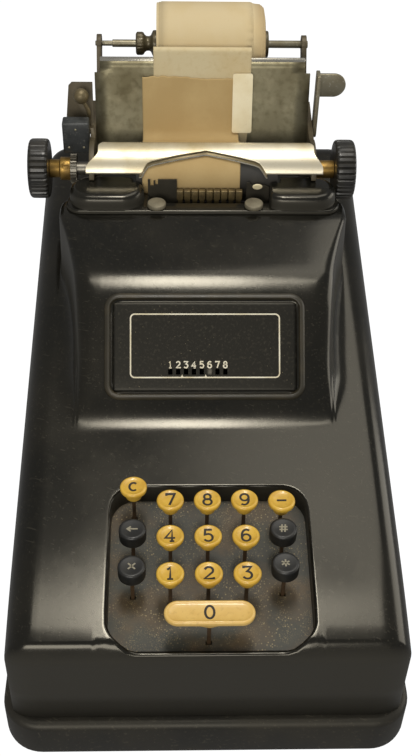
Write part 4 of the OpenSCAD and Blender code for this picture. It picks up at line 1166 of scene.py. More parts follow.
@dataclass(frozen=True)
class NamePanel:
    """Bezel, raised plate with its windows, the border line and the column digits."""

    columns: int = 8
    pitch: float = 4.43
    mid_x: float = -4.0
    window_v: float = -14.3
    window_w: float = 2.5
    window_l: float = 3.2
    window_depth: float = 1.0
    plate_half_w: float = 52.1
    plate_half_l: float = 25.5
    edge: float = 2.1
    edge_rows: int = 6
    edge_fall: float = 1.3
    level: float = 0.4
    frame_w: float = 84.1
    frame_l: float = 35.8
    frame_r: float = 2.4
    frame_mid: tuple[float, float] = (0.15, 0.4)
    line_half: float = 0.38
    digit_v: float = -10.3
    digit_h: float = 3.5
    digit_stroke: float = 0.72
    carets: tuple[float, ...] = (2.5, 5.5)

    def column(self, n: float) -> float:
        """Middle of column window n."""
        return self.mid_x + (n - (self.columns + 1) / 2) * self.pitch

    def bezel(self) -> Shape:
        """Frame: rounded rectangles carried over a raised rim and a slope down to the plate.

        Each step has its width, length, corner radius and height over the panel.

        Returns:
            The mesh.
        """
        steps = [
            (113.4, 60.4, 8.6, -1.6), (113.4, 60.4, 8.6, 0.2), (113.1, 60.1, 8.5, 0.6),
            (112.4, 59.4, 8.1, 1.05), (111.2, 58.2, 7.5, 1.5), (109.8, 56.8, 6.9, 1.85),
            (108.6, 55.6, 6.3, 2.0), (107.8, 54.8, 6.0, 1.9), (107.2, 54.2, 5.7, 1.5),
            (106.2, 53.2, 5.2, -0.4), (105.6, 52.6, 5.0, -1.0), (100.0, 47.0, 4.0, -1.1),
            (100.0, 47.0, 4.0, -1.8),
        ]
        loops = [PLACE.on_panel(*round_rect(w, l, r, 8).T, z) for w, l, r, z in steps]
        return grid(np.stack(loops), wrap_u=True, wrap_v=True)

    def plate(self) -> Shape:
        """Plate with rolled edges: a grid with lines at the windows' sides, roundings joined at corners.

        The windows' cells are left out and each gets short walls.

        Returns:
            The mesh.
        """
        flat_x, flat_y = self.plate_half_w - self.edge, self.plate_half_l - self.edge
        numbers = range(1, self.columns + 1)
        xs = [self.column(n) + s * self.window_w / 2 for n in numbers for s in (-1, 1)]
        ys = [self.window_v + s * self.window_l / 2 for s in (-1, 1)]
        band, rows = np.linspace(1, 0, self.edge_rows), self.edge_rows
        inner_x, inner_y = np.array([-36.0, *xs, 26.0, 38.0]), np.array([*ys, -6.0, 4.0, 14.0])
        share = lambda inner: np.concatenate([-band, 0 * inner, band[::-1]])
        place = lambda inner, end: np.concatenate([np.full(rows, -end), inner, np.full(rows, end)])
        across, along, turn = square_to_disc(share(inner_x), share(inner_y)[:, None])
        u = place(inner_x, flat_x) + self.edge * across
        v = place(inner_y, flat_y)[:, None] + self.edge * along
        top = PLACE.on_panel(u, v, self.level + self.edge_fall * (np.cos(turn) - 1))
        mid_u, mid_v = (u[:-1, :-1] + u[1:, 1:]) / 2, (v[:-1, :-1] + v[1:, 1:]) / 2
        level = np.abs(mid_v - self.window_v) < self.window_l / 2
        holes = np.zeros(mid_u.shape, bool)
        walls = []
        for n in numbers:
            holes |= level & (np.abs(mid_u - self.column(n)) < self.window_w / 2)
            outline = round_rect(self.window_w, self.window_l, 0.001, 1)
            outline += np.array([self.column(n), self.window_v])
            depths = self.level, self.level - self.window_depth
            walls.append(grid(np.stack([PLACE.on_panel(*outline.T, d) for d in depths]), wrap_v=True))
        edge = border_of(top)
        drop = np.stack([edge, edge - PLACE.panel_normal])
        return grid(top, keep=~holes) + grid(drop, wrap_v=True) + join(walls)

    def surface(self, u: Array, v: Array) -> tuple[Array, Array]:
        """Points and normals of the plate's face."""
        return PLACE.on_panel(u, v, self.level), np.broadcast_to(PLACE.panel_normal, (len(u), 3))

    def marks(self) -> Shape:
        """White border line, column digits and two small carets, laid on the plate."""
        line = round_rect(self.frame_w, self.frame_l, self.frame_r, 8) + np.array(self.frame_mid)
        h = self.line_half
        section = np.array([(-h, -0.05), (h, -0.05), (h, 0.06), (-h, 0.06)])
        shape = sweep(PLACE.on_panel(*line.T, self.level), section, PLACE.panel_normal, closed=True)
        for n in range(1, self.columns + 1):
            place = self.column(n), self.digit_v
            shape += Glyph.shape(str(n), *place, self.digit_h, self.digit_stroke, self.surface)
        foot = self.frame_mid[1] - self.frame_l / 2 + 0.9
        for n in self.carets:
            tip = np.array([(-0.7, -0.6), (0.7, -0.6), (0.0, 0.7)]) + np.array([self.column(n), foot])
            shape += loft(np.stack([PLACE.on_panel(*tip.T, d) for d in (0.3, 0.47)]))
        return shape

    def build(self) -> None:
        """Makes the panel's pieces."""
        put("bezel_frame", self.bezel(), BEZEL_OLIVE, "machine", ("name_bezel",), 60.0)
        put("raised_plate", self.plate(), NAME_BLACK, "machine", ("name_plate",), 50.0)
        put("plate_lettering", self.marks(), LINE_WHITE, "machine")


class CapKind(Enum):
    """Kinds of key cap."""

    DIGIT = "digit"
    BAR = "bar"
    BLACK = "black"

    @property
    def finish(self) -> Finish:
        """The cap's finish."""
        return {CapKind.BLACK: KEY_BLACK, CapKind.BAR: BAR_YELLOW}.get(self, KEY_YELLOW)


@dataclass(frozen=True)
class Key:
    """A key's name, kind, sign and place, and the sizes that all keys share."""

    name: str
    kind: CapKind
    sign: str
    x: float
    y: float
    digit_h: float = 9.6
    black_h: float = 8.0
    rise: float = 14.2
    bar_stretch: float = 15.4
    dish_points: int = 5
    digit_size: float = 7.392
    digit_stroke: float = 1.2
    black_stroke: float = 0.85
    stem_half: tuple[float, float] = (1.0, 0.7)
    stem_r: float = 0.25
    shoulder_half: float = 3.3
    shoulder_h: float = 1.2
    shoulder_drop: float = 14.26
    guide_drop: float = 37.77
    below_guide: float = 8.0
    travel: float = 5.0
    coil_r: float = 2.62
    wire_r: float = 0.33
    coil_turns: int = 9

    @property
    def height(self) -> float:
        """Height of the cap with its neck."""
        return self.black_h if self.kind is CapKind.BLACK else self.digit_h

    @property
    def deck(self) -> float:
        """Height of the deck at the key."""
        return float(PLACE.deck_z(self.y))

    @property
    def foot(self) -> float:
        """Height of the cap's underside."""
        return self.deck + self.rise - self.height

    def profile(self) -> Array:
        """Radius and height of the cap from its underside to the middle of its dished top."""
        if self.kind is CapKind.BLACK:
            return np.vstack([
                [(0, 0), (6.1, 0)], arc(6.1, 1.0, 0.95, -80, 0, 5), [(7.1, 3.5)],
                arc(5.7, 6.55, 1.4, 0, 80, 6), [(5.2, 7.84), (3.6, 7.62), (1.8, 7.5), (0, 7.46)],
            ])
        return np.vstack([
            [(0, 1.4), (3.9, 1.4), (4.2, 1.7), (4.2, 6.0), (5.2, 6.35)], arc(5.9, 7.6, 1.2, -90, 0, 5),
            [(7.1, 8.0)], arc(5.9, 8.4, 1.2, 0, 90, 6),
            [(5.5, 9.46), (5.0, 9.18), (4.2, 9.0), (2.4, 8.85), (0, 8.8)],
        ])

    def top_at(self, x: Array, y: Array) -> tuple[Array, Array]:
        """Point and normal of the cap's dish at (x, y) from its middle."""
        dish = self.profile()[-self.dish_points:][::-1]
        radius = np.abs(y) if self.kind is CapKind.BAR else np.hypot(x, y)
        z = self.foot + np.interp(radius, dish[:, 0], dish[:, 1])
        return np.stack([self.x + x, self.y + y, z], -1), np.broadcast_to([0.0, 0, 1], (len(x), 3))

    def cap(self) -> Shape:
        """The cap: its profile turned, and for the bar with its upper part drawn apart sideways."""
        profile = self.profile()
        if self.kind is not CapKind.BAR:
            return revolve(profile, (self.x, self.y, self.foot), 2, 56)
        stretch = self.bar_stretch * smooth((profile[:, 1] - 5.2) / 1.1)
        stretch[-self.dish_points:] = self.bar_stretch
        t = np.arange(64) * TURN / 64
        r, h = profile[:, :1], profile[:, 1:2]
        x = r * np.cos(t) + stretch[:, None] * np.sign(np.round(np.cos(t), 9))
        return grid(np.stack([self.x + x, self.y + r * np.sin(t), self.foot + h + 0 * t], -1), wrap_v=True)

    def bar(self, half_w: float, low: float, high: float) -> Shape:
        """Upright flat bar of the stem's thickness."""
        x, y, half_d = self.x, self.y, self.stem_half[1]
        return block((x - half_w, y - half_d, low), (x + half_w, y + half_d, high), self.stem_r)

    def build(self) -> None:
        """Makes the key's cap, sign, stem and spring."""
        black = self.kind is CapKind.BLACK
        put(f"{self.name}_cap", self.cap(), self.kind.finish, self.name, (self.name,), 50.0)
        size = SIGN_SIZES.get(self.sign, self.digit_size)
        stroke = self.black_stroke if black else self.digit_stroke
        sign = Glyph.shape(self.sign, 0, 0, size, stroke, self.top_at, 0.06)
        put(f"{self.name}_sign", sign, LEGEND_PALE if black else LEGEND_DARK, self.name)
        guide, shoulder = self.deck - self.guide_drop, self.deck - self.shoulder_drop
        stem = self.bar(self.stem_half[0], guide - self.below_guide, self.foot + 3.0)
        stem += self.bar(self.shoulder_half, shoulder - self.shoulder_h, shoulder)
        put(f"{self.name}_stem", stem, STEM_BROWN, self.name)
        self.spring(guide + 0.7, shoulder - self.shoulder_h - 0.1)

    def spring(self, z0: float, z1: float) -> None:
        """Coil between the guide plate and the stem's shoulder."""
        t = np.linspace(0, 1, self.coil_turns * 14)
        angle = self.coil_turns * TURN * t
        x, y = self.x + self.coil_r * np.cos(angle), self.y + self.coil_r * np.sin(angle)
        path = np.stack([x, y, z0 + 0.4 + (z1 - z0 - 0.8) * t], -1)
        made = put(
            f"{self.name}_spring", sweep(path, ring(self.wire_r, 6)), STEEL, "machine",
            ("key_springs",) if self.name == "key_5" else (),
        )
        foot, left = (self.x * MM, self.y * MM, z0 * MM), (z1 - z0 - self.travel) / (z1 - z0)
        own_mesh(made)
        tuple(foot)


@dataclass(frozen=True)
class Keyboard:
    """All keys, the well's floor plate and the stem guide below it."""

    rows: tuple[float, ...] = (-107.8, -128.5, -149.2, -169.9)
    columns: tuple[float, ...] = (-38.8, -19.4, 0.0, 19.4, 38.8)
    correct_y: float = -100.0
    upper_y: float = -124.7
    repeat_y: float = -145.4
    subtract_y: float = -108.4
    total_y: float = -144.1

    def keys(self) -> list[Key]:
        """The sixteen keys."""
        digits = [(7 - 3 * row + i, row, 1 + i) for row in range(3) for i in range(3)]
        keys = [Key(f"key_{n}", CapKind.DIGIT, str(n), self.columns[c], self.rows[r]) for n, r, c in digits]
        left, right = self.columns[0], self.columns[-1]
        return keys + [
            Key("key_0", CapKind.BAR, "0", 0.0, self.rows[3]),
            Key("key_correct", CapKind.DIGIT, "C", left, self.correct_y),
            Key("key_back_space", CapKind.BLACK, "<", left, self.upper_y),
            Key("key_repeat", CapKind.BLACK, "x", left, self.repeat_y),
            Key("key_subtract", CapKind.DIGIT, "-", right, self.subtract_y),
            Key("key_non_add", CapKind.BLACK, "#", right, self.upper_y),
            Key("key_total", CapKind.BLACK, "*", right, self.total_y),
        ]

    def build(self) -> None:
        """Makes the keyboard's pieces."""
        for key in self.keys():
            key.build()
        dress(WELL_OLIVE, "keyboard_plate")
        dress(STEEL, "stem_guide_plate")


@dataclass(frozen=True)
class RibbonWorks:
    """Ribbon cover with its lobes and thumb screws, guides, spools, type bars and the works inside."""

    bars: int = 9
    bar_w: float = 2.4
    head_half: float = 1.95
    head_h: float = 6.0
    cover_h: float = 1.4
    cover_edge: float = 1.0
    end_x: float = 72.5
    end_y: float = 70.0
    end_r: float = 9.0
    lobe_x: float = 66.0
    lobe_y: float = 74.5
    lobe_w: float = 14.6
    lobe_l: float = 13.5
    slot_y: float = 69.8
    screw_xs: tuple[float, float] = (-27.6, 30.2)
    screw_y: float = 65.5
    knurls: int = 30
    knurl_depth: float = 0.035
    guide_wall: float = 0.8
    guide_rise: float = 3.6
    button_x: float = 32.8
    button_stretch: float = 1.6

    def outline(self) -> Array:
        """Plan of the cover: front bar with round ends, two lobes, the slot and the platen's notch."""
        x, y, w, l = self.lobe_x, self.lobe_y, self.lobe_w, self.lobe_l
        return np.vstack([
            arc(self.end_x, self.end_y, self.end_r, -90, 0, 9), arc(x, y, w, 6, 90, 9, l),
            [(50, 88), (46.5, 87.54), (46.5, 79.6), (40, 79.6), (40, self.slot_y)],
            [(-32, self.slot_y), (-32, 79), (-41.5, 79), (-41.5, 84.99), (-46, 87.4), (-50, 88)],
            arc(-x, y, w, 90, 174, 9, l), arc(-self.end_x, self.end_y, self.end_r, 180, 270, 9),
        ])

    def slab(self) -> Shape:
        """Cover plate with rounded upper edges."""
        outline, r, h = self.outline(), self.cover_edge, self.cover_h
        steps = [(0.0, 0.15), (0.0, h)]
        steps += [(r * (1 - np.cos(t)), h + r * np.sin(t)) for t in np.radians([22, 45, 67, 90])]
        return loft(np.stack([lift(inset(outline, i), PLACE.cover_z + z) for i, z in steps]))

    def lobe(self, sign: float) -> Shape:
        """One raised lobe: a long outline drawn in over a rounded edge, kept clear of slot and platen."""
        t = np.arange(72) * TURN / 72
        profile = np.vstack([
            [(14.3, 1.6), (14.0, 2.2), (13.8, 3.2), (13.7, 4.6)], arc(9.5, 6.8, 4.2, 8, 90, 9),
            [(5.0, 11.0), (0.02, 11.0)],
        ])
        r, h = profile[:, :1], profile[:, 1:2]
        x = 57.4 + r * np.cos(t) + 8.4 * np.sign(np.round(np.cos(t), 9))
        y = np.maximum(self.lobe_y + 0.945 * r * np.sin(t), PLACE.cover_y + 0.4)
        drawn_in = np.clip(13.0 - r, 0, 9) * 0.3
        y = np.where(x < (47.0 if sign > 0 else 42.0), np.minimum(y, 79.3 - drawn_in), y)
        x = np.where(sign > 0, np.maximum(x, 40.4 + drawn_in), x)
        return grid(np.stack([sign * x, y, PLACE.cover_z + h + 0 * t], -1), wrap_v=True)

    def screw(self, x: float) -> Shape:
        """Thumb screw: a disc with a rounded top, its rim drawn in by a cosine as a knurl."""
        profile = np.array([
            (0, 0.1), (4.6, 0.1), (5.5, 0.5), (5.6, 1.0), (5.6, 2.3), (5.2, 2.9), (4.0, 3.2), (2.0, 3.4),
            (0, 3.45),
        ])
        count = 4 * self.knurls
        wave = 0.5 - 0.5 * ripple(self.knurls, count)
        knurl = 1 - self.knurl_depth * np.outer(profile[:, 0] > 5.4, wave)
        centre = x, self.screw_y, PLACE.cover_z + self.cover_h + self.cover_edge
        return revolve(profile, centre, 2, count, scale=knurl)

    def guides(self, low: Array, high: Array) -> Shape:
        """Two upright sheets cut to the ribbon guides' outlines in x and z.

        Args:
            low: low corner of the CAD guides' box.
            high: its high corner.

        Returns:
            The mesh.
        """
        foot, top, tall = low[2], high[2], high[2] + self.guide_rise
        left = np.array([
            (-33.0, foot), (-15.6, foot), (-15.6, tall), (-27.0, tall), (-27.0, top), (-28.6, top),
            (-28.6, tall - 0.8), (-29.6, tall - 0.8), (-29.6, top - 0.8), (-31.6, top - 0.8), (-31.6, tall),
            (-33.0, tall),
        ])
        right = np.array([
            (26.3, foot), (40.0, foot), (40.0, top - 1.5), (37.0, top), (29.0, top), (28.2, top + 1.8),
            (26.3, top + 1.8),
        ])
        sheet = lambda cut, y: np.column_stack([cut[:, 0], np.full(len(cut), y), cut[:, 1]])
        faces = low[1], low[1] + self.guide_wall
        return join([loft(np.stack([sheet(cut, y) for y in faces])) for cut in (left, right)])

    def button(self) -> Shape:
        """Oval button on the right guide: a turned profile stretched sideways."""
        profile = np.vstack([[(0, 1.0), (0.9, 0.9)], arc(1.3, 0.35, 0.6, 80, -60, 6), [(0, -0.1)]])
        oval = revolve(profile, (0, 0, 0), 1, 28)
        return Shape(oval.points * np.array([self.button_stretch, -1.0, 1.0]), oval.quads, oval.caps)

    def heads(self) -> Shape:
        """Wider heads on the upper ends of the type bars."""
        low, high = box_mm("type_bars")
        middles = np.linspace(low[0] + self.bar_w / 2, high[0] - self.bar_w / 2, self.bars)
        y0, y1, z1 = low[1] - 0.4, high[1] + 0.3, high[2] + 0.2
        w, z0 = self.head_half, z1 - self.head_h
        return join([block((x - w, y0, z0), (x + w, y1, z1), 0.35) for x in middles])

    def build(self) -> None:
        """Makes the ribbon works' pieces."""
        put("ribbon_cover_slab", self.slab(), ENAMEL, "machine", ("ribbon_cover",), 50.0)
        for side, name in ((-1.0, "left"), (1.0, "right")):
            put(f"{name}_cover_lobe", self.lobe(side), ENAMEL, "machine", (), 60.0)
        screws = join([self.screw(x) for x in self.screw_xs])
        put("cover_thumb_screws", screws, SCREW_GREY, "machine", ("thumb_screws",), 40.0)
        low, high = box_mm("ribbon_guides")
        guides = self.guides(low, high)
        put("ribbon_guide_plates", guides, GUIDE_DARK, "machine", ("ribbon_guides",))
        button = self.button().moved(self.button_x, low[1] - 0.3, high[2] - 0.6)
        put("guide_button", button, BUTTON_CREAM, "machine")
        put("type_heads", self.heads(), SLAT_GREY, "type_set")
        dress(SLAT_GREY, "type_bars")
        dress(RIBBON_INK, "ink_ribbon")
        dress(BRASS, "adding_wheels")
        dress(
            STEEL, "lift_bar", "spool_plate", "left_spool", "right_spool", "left_side_frame",
            "right_side_frame", "frame_rods", "pin_carriage", "drive_shaft", "adding_arbor",
        )


@dataclass(frozen=True)
class Carriage:
    """Carriage plates, platen with its knobs, tear bar, paper table, ratchet box and levers."""

    knob_x: tuple[float, float] = (-105.0, 80.5)
    knob_w: float = 12.0
    flutes: int = 32
    flute_depth: float = 0.055
    shield_r: float = 18.9
    shield_wall: float = 0.9
    shield_low: float = -70.0
    shield_w: float = 142.0
    shield_end: float = 30.0
    tooth: float = 1.62
    tooth_angle: float = 2.6
    top_angle: float = 93.5
    window_edge: tuple[tuple[float, float], ...] = (
        (-80, 158), (-36.6, 158), (-36.0, 154), (-35.0, 147), (-33.0, 138), (-30, 134), (-16, 124), (2, 113),
        (18, 124), (31, 134), (33.8, 138), (36.0, 147), (37.2, 154), (38.0, 158), (80, 158),
    )
    liner_gap: float = 1.25
    liner_angles: tuple[float, float] = (-7.0, 7.5)
    lip_r: float = 0.42
    chute_r: float = 17.0
    table_half: float = 65.0
    table_top_half: float = 61.65
    table_l: float = 61.0
    table_step: float = 54.0
    table_wall: float = 1.4
    roll_r: float = 1.8
    pivot: tuple[float, float, float] = (-71.35, 114.6, 208.002)
    ball_r: float = 4.7
    ball_mid: tuple[float, float] = (-1.64, 22.7)
    wire_r: float = 1.25
    rivet_spots: tuple[tuple[float, float], ...] = ((-80.5, 205.5), (-71.5, 205.5), (-76.0, 217.5))
    rivet_y: float = 98.0
    screw_x: float = -83.0
    screw_y: float = -4.6
    screw_z: float = 196.2

    def knob(self, x0: float, outer: float) -> Shape:
        """Fluted knob: a turned profile whose rim is drawn in by round grooves.

        Args:
            x0: the knob's lower x.
            outer: -1 where its outer face is at lower x, 1 where it is at higher x.

        Returns:
            The mesh.
        """
        profile = np.vstack([
            [(0, 10.2), (6.0, 10.2), (6.6, 10.6), (7.6, 10.6), (8.2, 10.0), (13.5, 10.4), (15.0, 11.6)],
            arc(15.5, 9.5, 2.4, 90, 0, 7), [(17.95, 7), (17.95, 4)], arc(16.0, 1.9, 1.9, 0, -90, 6),
            [(6.0, 0.05), (0, 0.05)],
        ])
        count = 8 * self.flutes
        groove = np.clip(ripple(self.flutes, count), 0, 1) ** 1.5
        scale = 1 - self.flute_depth * np.outer(smooth((profile[:, 0] - 15.6) / 1.6), groove)
        if outer < 0:
            profile[:, 1] = self.knob_w - profile[:, 1]
        return revolve(profile, (x0, PLACE.platen_y, PLACE.platen_z), 0, count, scale=scale)

    def low_angle(self, x: Array) -> Array:
        """Angle of the tear bar's lower edge: low at both legs, high along the window."""
        return np.interp(x, *np.array(self.window_edge).T)

    def shield_point(self, x: Array, angle: Array, r: float) -> Array:
        """Point of the tear bar's arc about the platen's axis."""
        a = np.radians(angle)
        y, z = PLACE.platen_y + r * np.cos(a), PLACE.platen_z + r * np.sin(a)
        return np.stack([x, y + 0 * x, z + 0 * x], -1)

    def shield(self) -> Shape:
        """Tear bar: arcs about the platen between a toothed upper edge and the lower edge, with curved ends.

        The ends follow an S from the narrower top to the wider foot, with a rounded upper corner.

        Returns:
            The mesh.
        """
        rough_x = self.shield_low + self.shield_w * np.linspace(0, 1, 561)[None]
        v = np.linspace(0, 1, 21)[:, None]
        top = self.top_angle - self.tooth_angle * np.abs((rough_x / self.tooth) % 1.0 - 0.5) * 2
        angle = top + (self.low_angle(rough_x) - top) * v
        down = (angle - 92) / 66
        s = smooth((down - 0.35) / 0.5)
        corner = 2.8 * np.clip(1 - down / 0.16, 0, 1) ** 2
        x0, x1 = -62.7 - 7.2 * s + corner, 66.7 + 5.2 * s - corner
        end = self.shield_end
        left, right = self.shield_low + end, self.shield_low + self.shield_w - end
        x = np.where(rough_x < left, x0 + (rough_x - self.shield_low) * (left - x0) / end, rough_x)
        x = np.where(rough_x > right, right + (rough_x - right) * (x1 - right) / end, x)
        return grid(self.shield_point(x, angle, self.shield_r))

    @property
    def window_x(self) -> Array:
        """Places along the window's edge, closer together at its curved ends."""
        spans = (-38.2, -30, 18), (-29, 31, 50), (31.5, 38.6, 14)
        return np.concatenate([np.linspace(*span) for span in spans])

    def liner(self) -> Shape:
        """Deflector behind the tear bar: a band of arcs that follows the window's edge a little below it."""
        angle = self.low_angle(self.window_x) + np.linspace(*self.liner_angles, 8)[:, None]
        x = np.broadcast_to(self.window_x, angle.shape)
        return grid(self.shield_point(x, angle, self.shield_r - self.liner_gap))

    def lip(self) -> Shape:
        """Rounded edge along the deflector's lower side."""
        angle = self.low_angle(self.window_x) + self.liner_angles[1]
        path = self.shield_point(self.window_x, angle, self.shield_r - self.liner_gap - 0.05)
        return sweep(path, ring(self.lip_r, 8), (0, -1, 0.4))

    def table(self) -> Shape:
        """Paper table: a sheet along the chute's arc and up the leaning line, narrower near its top."""
        chute = arc(0, 0, self.chute_r, -38, np.degrees(PLACE.table_angle) - 90, 9)
        step = self.table_step
        rise = np.array([10.0, 25, 40, step, step + 0.02, step + 3, self.table_l])[:, None]
        path = np.vstack([chute, chute[-1] + PLACE.table_along * rise])
        half = np.where(np.arange(len(path)) < len(path) - 3, self.table_half, self.table_top_half)[:, None]
        x = half * np.linspace(-1, 1, 15)[None]
        y, z = PLACE.platen_y + path[:, :1] + 0 * x, PLACE.platen_z + path[:, 1:] + 0 * x
        return grid(np.stack([x, y, z], -1))

    def table_roll(self) -> Shape:
        """Rolled upper edge of the paper table."""
        y, z = self.chute_r * PLACE.table_out + self.table_l * PLACE.table_along
        w, r = self.table_top_half, self.roll_r
        bar = np.array([(0, -w), (r - 0.4, -w), (r, 0.45 - w), (r, 0), (r, w - 0.45), (r - 0.4, w), (0, w)])
        return revolve(bar, (0, PLACE.platen_y + y + r, PLACE.platen_z + z), 0, 24)

    def ball_lever(self) -> Shape:
        """Hub, bent wire and ball of the line-space lever."""
        x, y, z = self.pivot
        profile = np.array([(1.55, -3.0), (2.5, -3.0), (2.8, -2.7), (2.8, 2.7), (2.5, 3.0), (1.55, 3.0)])
        hub = revolve(profile, self.pivot, 0, 28, True)
        bends = (0, 2.2), (1.2, 5.5), (2.4, 9), (2.3, 13), (0.4, 17.4), (-0.8, 20)
        wire = sweep(spline([(x + a, y, z + b) for a, b in bends], 6), ring(self.wire_r, 12), (0, 1, 0))
        t = np.radians(np.linspace(-90, 90, 15))
        round_line = self.ball_r * np.stack([np.cos(t), np.sin(t)], -1)
        return hub + wire + revolve(round_line, (x + self.ball_mid[0], y, z + self.ball_mid[1]), 2, 32)

    def rivets(self) -> Shape:
        """Domed rivets on the slate box's front."""
        profile = np.array([(0, -0.45), (0.4, -0.4), (0.7, -0.2), (0.8, 0.2), (0, 0.2)])
        dome = revolve(profile, (0, 0, 0), 1, 20)
        return join([dome.moved(x, self.rivet_y, z) for x, z in self.rivet_spots])

    def collar_screw(self) -> Shape:
        """Slotted screw head on the brass collar: two half discs with a gap between them, leaning forward."""
        parts = []
        for sign in (-1, 1):
            t = np.linspace(0, np.pi, 14) * sign
            outline = np.stack([2.1 * np.cos(t), 0.3 * sign + 1.9 * np.sin(t)], -1)[::sign]
            parts.append(loft(np.stack([lift(outline, 0.0), lift(outline, 0.8), lift(outline * 0.85, 1.0)])))
        head = join(parts)
        u, v, w = head.points.T
        lean = 0.7
        y, z = PLACE.platen_y + self.screw_y + lean * (v - w), self.screw_z + lean * (v + w)
        return Shape(np.stack([u + self.screw_x, y, z], -1), head.quads, head.caps)

    def build(self) -> None:
        """Makes the carriage's pieces."""
        for side in ("left", "right"):
            soft_copy(f"{side}_plate", f"{side}_carriage_plate", DARK_METAL, "machine", 0.35)
        for side, x0, outer in zip(("left", "right"), self.knob_x, (-1, 1)):
            knob = self.knob(x0, outer)
            put(f"{side}_fluted_knob", knob, KNOB, "platen", (f"{side}_knob",), 40.0)
        dress(RUBBER, "platen_roller", "feed_roller")
        dress(STEEL, "platen_shaft", "ratchet_wheel")
        soft_copy("brass_collars", "shaft_collars", BRASS, "platen", 0.5)
        put("collar_screw", self.collar_screw(), BRASS, "platen")
        front = (0, -1, 0.5)
        shield, liner, table = self.shield(), self.liner(), self.table()
        put(
            "toothed_tear_bar", shield, SHIELD_NICKEL, "machine", ("tear_bar",), 60.0,
            self.shield_wall, front,
        )
        put("window_liner", liner, LINER_BROWN, "machine", (), 60.0, 0.4, front)
        put("window_lip", self.lip(), SPOTTED_NICKEL, "machine")
        put(
            "paper_table_sheet", table, TABLE_NICKEL, "machine", ("paper_table",), 30.0,
            self.table_wall, (0, -1, 0.2),
        )
        put("table_rolled_edge", self.table_roll(), SPOTTED_NICKEL, "machine", (), 50.0)
        soft_copy("slate_ratchet_box", "line_space_box", SLATE_BOX, "machine", 1.0, 3)
        put("box_rivets", self.rivets(), DULL_NICKEL, "machine")
        lever = "line_space_lever"
        put("ball_lever", self.ball_lever(), LINER_BROWN, lever, (lever,), 60.0)
        soft_copy("release_tab", "release_lever", DULL_NICKEL, "release_lever", 0.5)


